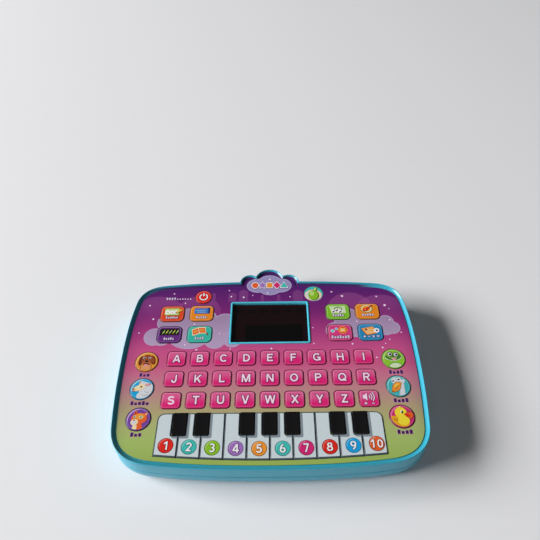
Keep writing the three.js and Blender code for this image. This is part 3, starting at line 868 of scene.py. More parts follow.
# Finish of each animal key, the ink of its light edge and the number of marks below it
ANIMAL_NODES = {
    "animal_key_dog": ("disc_orange", "light_orange", 3),
    "animal_key_sheep": ("disc_sky", "pale_sky", 5),
    "animal_key_cat": ("disc_purple", "light_violet", 3),
    "animal_key_frog": ("disc_green", "light_green", 4),
    "animal_key_duck": ("disc_teal", "light_teal", 4),
    "animal_key_bird": ("disc_magenta", "light_magenta", 4),
}
CAP_NODES = [*LETTER_NODES, "key_volume", *MODE_NODES, *ANIMAL_NODES, "power_button"]
outline = case_outline()


def separator_x(number):
    return (number - WHITE_COUNT / 2) * WHITE_PITCH


def white_key_x(number):
    return (separator_x(number - 1) + separator_x(number)) / 2


def piano_front_y(x):
    half = WHITE_COUNT / 2 * WHITE_PITCH
    return PIANO_FRONT_Y + PIANO_FRONT_RISE * (x / half) ** 2


def cap_outline(node):
    """A function of the distance inwards that gives the outline of a cap, round or rectangular."""
    x, y, width, depth, _ = cap_size(node)
    if node in ANIMAL_NODES or node == "power_button":
        radius = ANIMAL_R if node in ANIMAL_NODES else POWER_R
        return lambda distance: circle(x, y, radius - distance)
    corner = MODE_CORNER if node in MODE_NODES else LETTER_CORNER
    return partial(rounded, rectangle(x, y, width, depth, corner))


def piano_opening():
    """Opening for the white keys, with a tongue from its back edge under each black key."""
    half = WHITE_COUNT / 2 * WHITE_PITCH + GAP
    back = PIANO_BACK_Y + GAP
    tongue_half = (BLACK_WIDTH - 0.4) / 2
    tip = BLACK_FRONT_Y + 0.2
    corners = []
    for i in range(WHITE_COUNT + 1):
        x = separator_x(i) * half / (half - GAP)
        corners.append((x, piano_front_y(x) - GAP, 0))
    corners.append((half, back, PIANO_CORNER))
    for number in reversed(BLACK_SEPARATORS):
        x = separator_x(number)
        right, left = x + tongue_half, x - tongue_half
        corners += [(right, back, 0), (right, tip, 1), (left, tip, 1), (left, back, 0)]
    corners.append((-half, back, PIANO_CORNER))
    return rounded(corners)


def display_corners(grow=0.0):
    x, y, width, depth = DISPLAY
    return rectangle(x, y, width + 2 * grow, depth + 2 * grow, max(DISPLAY_CORNER + grow, 0.4))


def panel_openings(display_grow):
    """Openings of the key plate or the film for the keys, the piano and the display."""
    caps = [cap_outline(node)(-GAP) for node in CAP_NODES]
    return [*caps, piano_opening(), rounded(display_corners(display_grow))]


# ---------------------------------------------------------------- case


def front_case():
    """Front case: rim with a hollow inner slope, skirt, key plate, display frame and screw bosses."""
    solid = Solid()
    skirt = [(WALL, PLATE_Z), (WALL, SKIRT_Z), (0.35, SKIRT_Z), (0, SKIRT_Z + 0.35)]
    bead = [(distance, RIM_Z - drop) for distance, drop in (
        (0, 0.9), (0.05, 0.55), (0.17, 0.26), (0.35, 0.06), (0.55, 0), (0.75, 0.1), (1.0, 0.36),
        (1.35, 0.82), (1.8, 1.3), (2.35, 1.68), (3.0, 1.98), (RIM_WIDTH - 0.15, 2.16),
    )] + [(RIM_WIDTH, PLATE_TOP_Z)]
    shape = partial(inset, outline)
    # The rim's finish carries painted shade and reflection low on its inner slope at the back.
    rings = rings_of(shape, "case_cyan", skirt) + rings_of(shape, "rim_cyan", bead)
    solid.loft(rings, panel_openings(-0.2))
    top, inner = DISPLAY_FRAME_Z, DISPLAY_FRAME_WIDTH
    display_frame = [
        (inner, PLATE_Z), (0, PLATE_Z), (0, top - 0.35), (0.12, top - 0.1), (0.35, top),
        (inner - 0.4, top), (inner - 0.15, top - 0.1), (inner, top - 0.4),
    ]
    corners = rectangle(*DISPLAY, DISPLAY_CORNER + 0.8)
    # The frame's lighter cyan is a painted sheen on the case's plastic.
    solid.band(rings_of(partial(rounded, corners), "frame_cyan", display_frame))
    for x, y in BOSS_PLACES:
        solid.pipe(x, y, "case_inside", 1.2, 3.6, SKIRT_Z, PLATE_Z + 0.2, 28)
    solid.build("front_shell", "case", "case_cyan", "front_case", smooth=40)


def cover_corners(grow=0.0):
    """Corners of the battery cover with its screw tab, grown by a clearance."""
    x, y, width, depth = BAY
    right = x + width / 2 + BAY_LEDGE - GAP + grow
    back = y + depth / 2 + BAY_LEDGE - GAP + grow
    front = y - depth / 2 - BAY_LEDGE + GAP - grow
    tab_r = TAB_R + grow
    tip = TAB_Y - tab_r
    return [
        (-right, back, 2), (-right, front, 2), (-tab_r, front, 0.8), (-tab_r, tip, tab_r - 0.05),
        (tab_r, tip, tab_r - 0.05), (tab_r, front, 0.8), (right, front, 2), (right, back, 2),
    ]


def grille_slots():
    x, y, radius = SPEAKER
    slots = []
    for i in range(GRILLE_SLOTS):
        offset = (i - (GRILLE_SLOTS - 1) / 2) * GRILLE_PITCH
        length = 2 * math.sqrt((radius - 3.5) ** 2 - offset ** 2)
        slots.append(rounded(rectangle(x, y + offset, length, GRILLE_WIDTH, GRILLE_WIDTH / 2 - 0.02)))
    return slots


def rear_case():
    """Rear case: a tray with rounded flanks, foot pads, grille, battery bay and screw wells."""
    solid = Solid()
    outside = [
        (7, FLOOR_Z), (5.2, 1.45), (3.6, 2.1), (2.4, 3.1), (1.4, 4.5), (0.65, 6.2), (0.2, 8.1),
        (0, 10), (0, PARTING_Z - 0.35), (0.35, PARTING_Z),
    ]
    inside = [(WALL, PARTING_Z), (WALL, 10), (2.8, 7.2), (3.8, 5.2), (5.2, 3.9), (7, FLOOR_TOP_Z)]
    screw_well = [
        (SCREW_HEAD_R, FLOOR_TOP_Z - 0.2), (4.4, FLOOR_TOP_Z - 0.2), (4.4, PARTING_Z - GAP),
        (SCREW_HOLE_R, PARTING_Z - GAP), (SCREW_HOLE_R, SCREW_SEAT_Z), (SCREW_HEAD_R, SCREW_SEAT_Z),
    ]
    foot_pad = [
        (FOOT_R - 0.9, 0.7), (FOOT_R - 0.9, 0.35), (FOOT_R - 0.35, 0.3), (FOOT_R, 0.7),
        (FOOT_R, FLOOR_Z + 0.3), (FOOT_R - 2, FLOOR_Z + 0.3), (FOOT_R - 2, 0.7),
    ]
    shape = partial(inset, outline)
    rings = rings_of(shape, "case_cyan", outside) + rings_of(shape, "case_inside", inside)
    well_holes = [circle(x, y, SCREW_HEAD_R, 28) for x, y in BOSS_PLACES]
    solid.loft(rings, [rounded(cover_corners(GAP)), *grille_slots(), *well_holes])
    for x, y in BOSS_PLACES:
        solid.lathe(x, y, "case_cyan", screw_well, 28, True)
    for x, y in FOOT_PLACES:
        solid.lathe(x, y, "case_cyan", foot_pad, closed=True)
    ledge_z = FLOOR_Z + COVER_THICK + GAP
    bay = [(0, BAY_ROOF_Z), (0, ledge_z), (-BAY_WALL, ledge_z), (-BAY_WALL, BAY_ROOF_Z + 1.2)]
    solid.stack(rectangle(*BAY, 2), "case_inside", bay)
    solid.pipe(BAY[0], TAB_Y, "case_inside", 1.2, TAB_R + 1.5, ledge_z, 12)
    x, y, radius = SPEAKER
    solid.pipe(x, y, "case_inside", radius + GAP, radius + 2.1, 3, 7.7, 56)
    solid.build("rear_shell", "case", "case_cyan", "rear_case", smooth=35)


def battery_cover():
    """Battery cover with its screw tab, softened edges, grip ribs and two tongues."""
    solid = Solid()
    x, y, _, depth = BAY
    edge = [
        (1.2, FLOOR_Z), (0.35, FLOOR_Z), (0.1, FLOOR_Z + 0.1), (0, FLOOR_Z + 0.35), (0, FLOOR_Z + COVER_THICK),
    ]
    solid.stack(cover_corners(), "case_cyan", edge, [circle(x, TAB_Y, SCREW_HEAD_R, 28)])
    solid.pipe(x, TAB_Y, "case_cyan", SCREW_HOLE_R, SCREW_HEAD_R, FLOOR_Z + 0.8, 2.75, 28)
    for i in range(-1, 2):
        rib = rectangle(x, y - depth / 2 + 9 + i * 2.6, 18, 1.2, 0.55)
        levels = [(0.35, FLOOR_Z - 0.45), (0.1, FLOOR_Z - 0.3), (0, FLOOR_Z + 0.2)]
        solid.stack(rib, "case_cyan", levels)
    for side in (-1, 1):
        tongue = rectangle(x + side * 17, y + depth / 2 + BAY_LEDGE - GAP + 0.3, 8, 1.6, 0.2)
        solid.prism(rounded(tongue), FLOOR_Z + 0.7, FLOOR_Z + COVER_THICK, "case_cyan")
    solid.build("battery_door", "case", "case_cyan", "battery_cover", smooth=35)


# ---------------------------------------------------------------- panel


def panel_film():
    """The printed film, with openings for the keys, the piano and the display."""
    solid = Solid()
    film = inset(outline, RIM_WIDTH + GAP)
    solid.prism(film, OVERLAY_Z, OVERLAY_TOP_Z, "overlay_print", panel_openings(GAP))
    solid.build("panel_film", "case", "overlay_print", "graphic_overlay", (0, 0, OVERLAY_TOP_Z))


def black_keys():
    """The seven black keys: glossy raised print that does not move."""
    solid = Solid()
    half = BLACK_WIDTH / 2 - 0.1
    back = PIANO_BACK_Y + 0.6
    top = BLACK_KEY_Z
    profile = [
        (0, OVERLAY_TOP_Z - 0.02), (0, top - 0.4), (0.15, top - 0.15), (0.5, top), (1.2, top),
        (1.5, top - 0.06),
    ]
    for number in BLACK_SEPARATORS:
        x = separator_x(number) + 0.1
        left, right, front = x - half, x + half, BLACK_FRONT_Y
        corners = [(left, front, 1.6), (right, front, 1.6), (right, back, 0.3), (left, back, 0.3)]
        solid.stack(corners, "piano_black", profile)
    solid.build("black_keys", "case", "piano_black")


STARS = (
    (-85, 67, 0.7), (-74, 56, 0.7), (-105, 54, 0.8), (-100, 39, 0.9), (-64, 33, 0.8), (-70, 12, 0.8),
    (-42, 23, 0.6), (-60, 7, 0.8), (-36, 70, 0.6), (-34, 63, 0.8), (-23, 62, 0.9), (-15, 64, 0.5),
    (18, 62, 0.6), (28, 67, 0.6), (55, 67, 0.8), (64, 62, 1.1), (94, 61, 0.8), (100, 51, 1.2),
    (74, 34, 0.7), (102, 35, 0.8), (68, 11, 0.8), (92, 7, 0.8), (95, 11, 0.5), (99, 15, 0.6),
    (103, 47, 0.5), (-110, 24.5, 0.6), (36.4, 11.8, 0.6), (-32.4, 7.4, 0.6), (34, 53, 0.5), (86, -2.5, 0.7),
    (1.4, 7.4, 0.7), (36.4, 27.9, 0.5), (109.5, 22, 0.6),
)
TOWERS = (
    (-33, 62.5, 7, 11), (-23, 64, 8, 14), (-6.4, 61, 3, 8), (8, 61, 3.2, 8), (25, 63.5, 9, 13),
    (-50, 63, 4.6, 9),
)
SIGN_LOBES = ((0.1, 77.8, 11.3, 9.9), (-10.7, 75.4, 9.8, 8.2), (10.2, 75.4, 9.6, 8.2), (0.5, 70.8, 9.5, 6.7))
SIGN_PITCH = 6.5
SIGN_Y = 75.6
WORD_MARK_Y = -12.1


def backdrop(solid):
    """Faint towers behind the display, and small glowing stars."""
    art = Print(solid, 0, 0, OVERLAY_TOP_Z - 0.03)
    for x, y, width, depth in TOWERS:
        half = width / 2
        eaves = y + depth / 2 - 0.6 * half
        art.shape("tower", rounded([
            (x - half, y - depth / 2, 0.3), (x + half, y - depth / 2, 0.3), (x + half, eaves, 0.5),
            (x, y + depth / 2, 0.8), (x - half, eaves, 0.5),
        ]))
    art = Print(solid, 0, 0, OVERLAY_TOP_Z)
    for x, y, radius in STARS:
        art.oval("glow", x, y, 2.2 * radius, 2.2 * radius)
        art.oval("white", x, y, 1.35 * radius, 1.35 * radius)
        art.count = 0


def star_points(count, outer, inner):
    """Outline of a star with a point at the top."""
    radii = [inner if i % 2 else outer for i in range(2 * count)]
    return [turned([(radius, 0)], 90 + 180 * i / count)[0] for i, radius in enumerate(radii)]


def sign(solid):
    """The cloud in the crown, with five plain shapes in place of lettering."""
    art = Print(solid, 0, 0, OVERLAY_TOP_Z + 0.05)
    art.shape("sign_edge", cloud(SIGN_LOBES))
    art.shape("sign", cloud([(x, y, rx - 0.7, ry - 0.7) for x, y, rx, ry in SIGN_LOBES]))
    for x, y, size in ((0.2, 82.8, 1.5), (-1.8, 66.6, 1.2), (8, 67.8, 0.7)):
        art.oval("white", x, y, size, size)
    shapes = (
        ("red_orange", circle(0, 0, 2.8, 32)),
        ("violet", star_points(5, 3.7, 1.9)),
        ("orange", rounded(rectangle(0, 0, 5.0, 5.0, 0.9))),
        ("magenta", rounded([(0, -3.6, 0.5), (3.3, 0, 0.8), (0, 3.6, 0.5), (-3.3, 0, 0.8)])),
        ("teal", rounded([(-3.2, -2.5, 0.7), (3.2, -2.5, 0.7), (0, 3.5, 0.7)])),
    )
    for grow, lift, recolour in ((1.36, -0.2, "outline"), (1.24, 0, "white"), (1, 0, None)):
        for i, (ink, points) in enumerate(shapes):
            points = [(x * grow, y * grow * 1.12) for x, y in points]
            art.shape(recolour or ink, moved(points, (i - 2) * SIGN_PITCH, SIGN_Y + lift))


def word_marks(solid):
    """Rows of marks where the panel has words: beside the power button and below the animals."""
    power_x, power_y, *_ = cap_size("power_button")
    art = Print(solid, power_x, power_y, OVERLAY_TOP_Z)
    for i in range(10):
        tall = 2.6 if i < 4 else 1.3
        art.box("pale_lilac", -32.2 + i * 2.3, -1.2 + (tall - 2.6) / 2, 1.3, tall, 0.4)
        art.count = 0
    for node, (_, _, count) in ANIMAL_NODES.items():
        x, y, *_ = cap_size(node)
        art = Print(solid, x, y, OVERLAY_TOP_Z)
        art.marks("caption", "caption_edge", count, WORD_MARK_Y, 2.9, 3.2)


def panel_prints():
    solid = Solid()
    backdrop(solid)
    sign(solid)
    draw(Print(solid, 39, 65.2, OVERLAY_TOP_Z, 8.4), BEACH_BALL)
    word_marks(solid)
    solid.build("panel_prints", "case", "overlay_print")


def display():
    """The dark lens in its frame, and the LED module behind it."""
    lens = Solid()
    flange = partial(rounded, display_corners(2))
    window = partial(rounded, display_corners(-DISPLAY_FRAME_WIDTH - GAP))
    rings = rings_of(flange, "lens_dark", [(0, PLATE_Z - 1.5), (0, PLATE_Z - GAP)])
    rings += rings_of(window, "lens_dark", [(0, PLATE_Z - GAP), (0, LENS_TOP_Z - 0.2), (0.2, LENS_TOP_Z)])
    lens.loft(rings)
    lens.build("lens", "case", "lens_dark", "display_lens")
    module = Solid()
    x, y = DISPLAY[:2]
    module.prism(rounded(rectangle(x, y, 60, 37, 1)), 20.3, 21.4, "speaker_frame")
    for row in range(LED_ROWS):
        for column in range(LED_COLUMNS):
            led_x = x + (column - (LED_COLUMNS - 1) / 2) * 4.1
            led_y = y + (row - (LED_ROWS - 1) / 2) * 4.3
            module.lathe(led_x, led_y, "led_off", [(1.5, 21.38), (1.5, 21.6), (0.9, 21.9)], 12)
    module.build("led_module", "case", "speaker_frame")


# ---------------------------------------------------------------- pictures

BEACH_BALL = """
oval dark_teal 0 0 16.8 17
oval teal 0 0 16.2 16.4
oval grey -0.3 -1.9 15.6 13.4
oval cream -0.6 -1.6 14.8 12
oval wool -2.6 -1.4 9.6 8.6
oval dark_green 1.8 4.4 3.6 6 -16
oval light_green 1.4 4.6 2.2 5 -16
oval dark_green 0.1 -1.9 9.6 11.6 4
oval green -0.4 -1.6 8.6 10.6 4
oval light_green -1.4 0.2 3.8 5 12
"""
# Pictures of the keys, as rows for draw()
PICTURES = {
    # A tile with three beads, and a pencil
    "mode_key_letter": """
box deep_green -0.3 1.9 12.9 7.6 0.8
box light_green -0.5 2.1 12.4 7 0.7
oval white -4.3 1.6 4.4 5.2
oval light_green -4.2 1.3 1.76 2.024
oval white -0.4 1.6 3.4 4.2
oval light_red_orange -0.3 1.3 1.36 1.564
oval white 2.8 1.6 3.6 4.4
oval teal 2.9 1.3 1.44 1.656
box dark_orange 5.6 2.5 6 2.2 0.4 35
box amber 5.5 2.7 5.6 1.6 0.3 35
poly dark_brown 2.4,0 3.8,0.5 3,1.6
marks 6 -4.2
""",
    # A blue card with two lines
    "mode_key_word": """
box navy 0.3 2.8 13.4 6.6 0.6
box blue -0.4 2.6 12 5.6 0.5
box violet -0.6 5.3 10.6 1 0.3
box light_blue -1.2 3 8.8 1 0.4
box light_blue -0.4 1.1 8 0.9 0.4
marks 5 -4.2 1.9
""",
    # A pale screen with a group of notes
    "mode_key_song": """
poly light_green -5.4,-1.8 7.2,-1.8 6.8,6 -7.2,6
poly pale_green -5,-1.3 6.8,-1.3 6.4,5.6 -6.7,5.6
oval white -3.6 0 4 3.2 24
oval dark_brown -3.8 -0.3 2.5 1.5 24
box deep_green -2.8 1.6 0.4 3 0.15
oval white -0.7 1.4 4 3.2 24
oval dark_brown -0.9 1.1 2.5 1.5 24
box deep_green 0.1 3 0.4 3 0.15
oval white 2.2 -0.2 4 3.2 24
oval dark_brown 2 -0.5 2.5 1.5 24
box deep_green 3 1.4 0.4 3 0.15
arc deep_green 0.3 1.2 3.6 150 20 12 0.35
marks 5 -3.9 2 2.8
""",
    # A red guitar on a cream ring
    "mode_key_music": """
oval deep_green -0.3 2.6 10.2 8.6
oval cream -0.4 2.7 9.4 7.8
oval orange -0.5 2.7 7.2 5.8
oval dark_red -1.4 1.6 5.4 3.4 30
oval red -1.6 1.8 4.8 2.9 30
oval red 0.8 3.2 3 2.2 30
box dark_red 3.1 5 5.2 0.9 0.3 36
oval amber -1.4 2 1.3 1.1
marks 5 -3.9 2.1
""",
    # Two gems and a framed lozenge
    "mode_key_question": """
poly pale_sky -8,1.8 -6.8,-0.2 -4.8,0 -4,1.8 -5.6,3.2 -7.2,3
poly teal -7,1.6 -6.4,0.6 -5.4,0.7 -5,1.6 -5.8,2.3 -6.6,2.2
poly pale_sky -4.25,3.89 -3.38,2.44 -1.93,2.585 -1.35,3.89 -2.51,4.905 -3.67,4.76
poly sky -3.525,3.745 -3.09,3.02 -2.365,3.0925 -2.075,3.745 -2.655,4.2525 -3.235,4.18
round orange,red_orange 0,0.6 -1.8,2.3,0.8 0.4,-1.4,1.2 4.6,-1.4,1.2 6.8,2.3,0.8 4.6,6,1.2 0.4,6,1.2
box amber 2.4 2.3 4.4 3.4 0.5
box cream 2.4 2.3 3 2.2 0.4
box orange 2.4 2.3 2.4 0.6 0.2
marks 7 -4.7 2.2 2.8
""",
    # A card with a dot and bars, a ring, and a row of signs
    "mode_key_math": """
round dark_brown 0 -7.7,3.1,0.5 -3.6,-3.7,0.5 5.1,-1.7,0.5 2.5,5.3,0.5
round orange,light_orange 0,0.9 -7.4,3.6,0.5 -3.3,-3.2,0.5 5.4,-1.2,0.5 2.8,5.8,0.5
oval brown -3.4 2.4 2.2 2.2
box gold 0.6 3.6 3.4 0.9 0.3 14
box gold 0.9 1.4 3.4 0.9 0.3 14
oval white 5.3 1.5 4.6 4.6
oval navy 5.4 1.4 1.7 1.9
sign + -5.2
sign - -1.5
sign x 2.2
sign = 5.9
""",
    "animal_key_dog": """
oval dark_brown -4.8 0.8 3.2 8.8 -8
oval dark_brown 5 1.4 3.8 9 16
oval brown 5 1.6 2.2 7 14
poly rust -4.4,-2.6 -5.8,-9.4 5.8,-9.4 4.4,-2.6
poly tan -3.6,-3.4 -4.8,-9.4 4.8,-9.4 3.8,-3.4
oval brown 0.1 1.6 9.2 9.8
oval rust 0 -1 6.6 4.6
oval dark_brown 0 -2.5 4.6 2
oval pink 0 -3.3 3 1.8
oval grey -2.1 3.4 2.5 2
oval dark_brown -1.9 3.3 1.3 1.4
oval grey 2.1 3.4 2.5 2
oval dark_brown 1.9 3.3 1.3 1.4
oval black 0 0.2 2.8 1.8
""",
    "animal_key_sheep": """
oval wool 3.9 -2.4 11.5 14.5 -20
oval wool 0.6 -6.4 8 7 -20
oval wool 2.6 2.6 6.4 6.4 -20
oval tan -2.8 0.5 9.6 4.8 20
oval cream -2.6 0.8 9.2 4.6 20
oval cream -0.4 2.4 5.4 5.6
oval tan -2 5.6 1.5 2.2 -20
oval wool -0.4 5.4 2.6 2.6
oval wool 1.4 5 2.6 2.6
oval wool 2.6 3.9 2.2 2.2
oval rust 4.2 3.5 4.4 1.6 14
oval pink 4.3 3.6 3.4 1 14
oval black -0.8 1.7 1.4 1.4
oval dark_red -6.4 -0.3 1.5 1.1 20
oval brown -6 -2 2.4 0.5 16
arc grey 4 -1.4 2 200 320 10 0.16
arc grey 2.4 -4.2 2 200 320 10 0.16
arc grey 6 -4.4 2 200 320 10 0.16
""",
    "animal_key_cat": """
oval red_orange 0.9 -6.8 5.6 8
oval cream -1.9 -7 3.4 6.6
poly red_orange -4.6,2.2 -0.4,4 -2.8,7.2
poly red_orange 2.2,4 5.6,0.2 7.4,6.4
poly dark_red_orange -3.6,3.2 -1.6,4 -2.7,5.8
poly light_orange 4.2,3.6 5.4,2 6.4,4.9
oval red_orange 0.5 0.3 12 8.8
oval orange 0.9 1.9 7.4 5
oval cream -2.6 -2.5 5.6 5
oval wool -2.8 -2.8 3.6 3
oval dark_red -2.9 -1 1.4 0.9
oval pale_green -2.9 1.8 2 2.3
oval black -3 1.8 1 1.8
oval white -3.2 2.2 0.4 0.5
oval pale_green 1.8 1.4 2.8 2.3
oval black 1.7 1.4 1 1.8
oval white 1.5 1.8 0.4 0.5
""",
    "animal_key_frog": """
oval deep_green 0.9 -8.3 11.8 9.8
oval pale_green 0.9 -8.5 11 9.2
arc deep_green -0.1 6.6 7.7 214 326 24 1.3
arc pale_green -0.1 6.4 8.4 210 330 24 0.34
oval deep_green 0.8 3 9.4 3.8
poly pink -1.9,0.2 0.3,-1.9 2.6,0 1.6,0.7 -1,0.8
oval dark_green -2.5 4.4 4.6 4.8
oval wool -2.5 4.2 3.3 3.5
oval black -2.1 4.1 1.7 2.2
oval dark_green 2.3 3.9 4.6 4.8
oval wool 2.3 3.7 3.3 3.5
oval black 2.7 3.6 1.7 2.2
""",
    "animal_key_duck": """
poly grey -0.6,-9.6 5.6,-9.4 4.7,3.6 1.8,3
poly wool 0.1,-9.6 5.1,-9.4 4.4,3.6 2.2,3
oval wool -0.4 4.2 8.8 6 -8
oval wool 4 4.2 3.2 3.2
oval wool 1.4 6.2 2.8 2.8
oval wool -2.6 5.8 3 3
round dark_orange,orange 0,0.35 -4.4,0.9,0.5 -6,-4.8,0.6 -4.8,-5.8,0.5 -1.2,-4.7,0.8 1.3,-2.4,0.8 \
2.9,3.1,0.6 -1.2,3.8,0.8
oval amber -1.4 0.6 5 2.4 40
oval brown -4.9 -4.8 1.9 1.1 30
oval dark_orange -1.5 -1.6 6 0.5 52
oval black -3.6 4.2 1.1 1.3
oval white -3.8 4.5 0.4 0.4
oval black 0.9 5.6 1.5 1.3
oval white 0.7 5.9 0.4 0.4
""",
    "animal_key_bird": """
oval gold -2.4 -4.8 14.4 11 6
oval gold -5.6 -2.6 7 5.6 -30
oval yellow 0.6 -3.4 8.8 7.6 10
line dark_orange 0.3 -6.6,-2.2 -4.8,-2.6 -3.6,-3.6
oval yellow -0.7 2.8 8.8 8.8
poly yellow -2,6.4 0.2,6.6 -0.8,8.2
round dark_red_orange,red_orange 0,0.4 1.3,1.5,0.4 4,-1.4,0.5 6.6,-2.6,0.6 8.8,0.8,0.6 7.6,4,0.6 4,3,0.5
oval red 3.9 0.6 4.2 1.9 -24
oval white 0.2 3.4 1.8 2.6 -10
oval black 0.4 3.1 1.4 2.2 -10
""",
}


def draw(art, rows):
    """Draws rows of a kind of shape, its ink and numbers. Points are x,y and corners x,y,radius.
    Before these, line has its half width, and round the distance each of its inks is moved inwards."""
    for row in rows.strip().splitlines():
        kind, ink, *items = row.split()
        points = [tuple(float(number) for number in item.split(",")) for item in items]
        numbers = [number for point in points for number in point]
        if kind == "poly":
            art.shape(ink, points)
        elif kind == "round":
            for one_ink, distance in zip(ink.split(","), points[0]):
                art.shape(one_ink, rounded(points[1:], distance))
        elif kind == "line":
            art.shape(ink, stroke(points[1:], numbers[0]))
        elif kind == "arc":
            *place, steps, half = numbers
            art.shape(ink, stroke(arc(*place, int(steps)), half))
        elif kind == "marks":
            art.marks("pale_lilac", "outline", int(ink), *numbers)
        elif kind == "sign":
            art.text("navy", ink, numbers[0], -4.7, 3.6, 0.08)
            art.text("pale_lilac", ink, numbers[0] - 0.1, -4.6, 3.6, 0.01)
        elif kind == "oval":
            art.oval(ink, *numbers)
        else:
            art.box(ink, *numbers)


def draw_letter(letter, art):
    art.text("letter_edge", letter, 0.24, -0.1, LETTER_HEIGHT, 0.085, LETTER_SQUEEZE)
    art.text("letter", letter, 0.2, 0, LETTER_HEIGHT, 0, LETTER_SQUEEZE)


def draw_volume(art):
    """A loudspeaker with waves, over a plus and a minus."""
    horn = [
        (-4.8, -0.3, 0.1), (-3.4, -0.3, 0), (-1.4, -2.0, 0.2), (-1.4, 4.4, 0.2), (-3.4, 2.7, 0),
        (-4.8, 2.7, 0.1),
    ]
    for ink, grow in (("letter_edge", -0.35), ("letter", 0)):
        art.shape(ink, rounded(horn, grow))
        for radius in (2.1, 3.8, 5.5):
            art.shape(ink, stroke(arc(-1.6, 1.2, radius, -42, 42, 10), 0.36 - grow, -grow))
        art.text(ink, "+", -3.0, -4.3, 3.6, -grow / 3.6)
        art.text(ink, "-", 2.6, -4.3, 3.6, -grow / 3.6)


def draw_power(art):
    """A light ring with a gap at its top, and a bar in the gap."""
    for ink, grow in (("dark_red", 0.35), ("white", 0)):
        art.shape(ink, stroke(arc(0, 0, 3.3, 122, 418, 40), 0.55 + grow, grow))
        art.box(ink, 0, 2.7, 1.15 + 2 * grow, 3.8 + 2 * grow, 0.5)


def draw_spell(art):
    """A black panel with a row of lit slanted bars."""
    lean = 0.45
    draw(art, "box dark_purple -0.1 2.6 16.4 7 0.4\nbox black -0.1 2.6 15.6 6.3 0.3")
    for i in range(5):
        x = -6.6 + i * 2.9
        for low, high in ((0.6, 2.3), (2.8, 4.6)):
            foot, head = x + low * lean, x + high * lean
            bar = [(foot, low), (foot + 0.6, low), (head + 0.6, high), (head, high)]
            art.shape("yellow" if i % 2 else "light_green", bar)
        art.shape("light_green", [(x + 0.7, 2.2), (x + 2.3, 2.2), (x + 2.5, 2.8), (x + 0.9, 2.8)])
    draw(art, "marks 5 -4.4 1.8")


def draw_read(art):
    """An open book lying at a slant."""
    def slanted(ink, points, side=1):
        points = [(x * side, y) for x, y in points[::side]]
        art.shape(ink, turned(points, 12, -0.6, 2.5))

    slanted("cream", [(-5.9, -3.1), (0, -2.2), (5.9, -3.1), (5.9, 3.6), (0, 4.5), (-5.9, 3.6)])
    for side in (-1, 1):
        slanted("red_orange", [(0.35, -1.4), (5.2, -2.2), (5.2, 2.8), (0.35, 3.6)], side)
        for y in (1.6, 0.2):
            slanted("amber", [(1.2, y - 0.2), (4.4, y - 0.7), (4.4, y - 0.1), (1.2, y + 0.4)], side)
    draw(art, "box dark_red 6.3 0.2 3.2 0.9 0.3 -60\nmarks 4 -4.2 2")


# ---------------------------------------------------------------- keys


def finish_key(solid, node, slot, origin):
    solid.build(node + "_cap", node, slot, node, origin)


def capped_key(node, finish, picture, keep=None, light_edge=None):
    """A cap with a hidden flange below the panel, a softly rounded top edge and a printed picture."""
    x, y, _, _, top = cap_size(node)
    solid = Solid()
    solid.loft(rings_of(cap_outline(node), finish, [
        (-FLANGE_REACH, FLANGE_Z), (-FLANGE_REACH, FLANGE_TOP_Z), (0, FLANGE_TOP_Z), (0, top - 0.5),
        (0.08, top - 0.26), (0.28, top - 0.09), (0.7, top), (1.5, top),
    ]))
    art = Print(solid, x, y, top, keep)
    if light_edge:
        art.crescent(light_edge, keep, 1.1)
    if callable(picture):
        picture(art)
    else:
        draw(art, picture)
    finish_key(solid, node, finish, (x, y, top))


def capped_keys():
    for node, letter in LETTER_NODES.items():
        capped_key(node, "letter_pink", partial(draw_letter, letter))
    capped_key("key_volume", "letter_pink", draw_volume)
    capped_key("power_button", "power_red", draw_power)
    pictures = PICTURES | {"mode_key_spell": draw_spell, "mode_key_read": draw_read}
    for node, finish in MODE_NODES.items():
        capped_key(node, finish, pictures[node])
    for node, (finish, light_edge, _) in ANIMAL_NODES.items():
        capped_key(node, finish, pictures[node], ANIMAL_R - 1, light_edge)


def white_key_corners(number):
    """Corners of a white key, notched beside the black keys."""
    left = separator_x(number - 1) + (0 if number == 1 else WHITE_SPLIT / 2)
    right = separator_x(number) - (0 if number == WHITE_COUNT else WHITE_SPLIT / 2)
    middle = (left + right) / 2
    notch = BLACK_WIDTH / 2 + GAP
    notch_y = BLACK_FRONT_Y - GAP
    front = ((left, 0.9), (middle, 0), (right, 0.9))
    corners = [(x, piano_front_y(x), radius) for x, radius in front]
    if number in BLACK_SEPARATORS:
        inner = separator_x(number) - notch
        corners += [(right, notch_y, 0.3), (inner, notch_y, 1.6), (inner, PIANO_BACK_Y, 0.5)]
    else:
        corners.append((right, PIANO_BACK_Y, PIANO_CORNER if number == WHITE_COUNT else 0.5))
    if number - 1 in BLACK_SEPARATORS:
        inner = separator_x(number - 1) + notch
        corners += [(inner, PIANO_BACK_Y, 0.5), (inner, notch_y, 1.6), (left, notch_y, 0.3)]
    else:
        corners.append((left, PIANO_BACK_Y, PIANO_CORNER if number == 1 else 0.5))
    return corners


def black_key_shadows(art, number):
    """Grey print on a white key beside and in front of the black keys next to it."""
    notch = BLACK_WIDTH / 2 + GAP
    front = BLACK_FRONT_Y - GAP
    if number - 1 in BLACK_SEPARATORS:
        x = separator_x(number - 1)
        side = x + notch
        back = PIANO_BACK_Y - 0.5
        art.shape("key_shadow", rounded([
            (x + 0.5, front - 1.7, 0), (side + 1.7, front - 1.7, 1.2), (side + 1.7, back, 0),
            (side + 0.1, back, 0), (side + 0.1, front - 0.1, 1.6), (x + 0.5, front - 0.1, 0),
        ]))
    if number in BLACK_SEPARATORS:
        x = separator_x(number)
        art.box("key_shadow", x - notch / 2 + 0.35, front - 0.85, notch - 1.7, 1.5, 0.3)


DISC_INKS = ("red", "teal", "green", "violet", "orange", "teal", "magenta", "red", "sky", "red_orange")


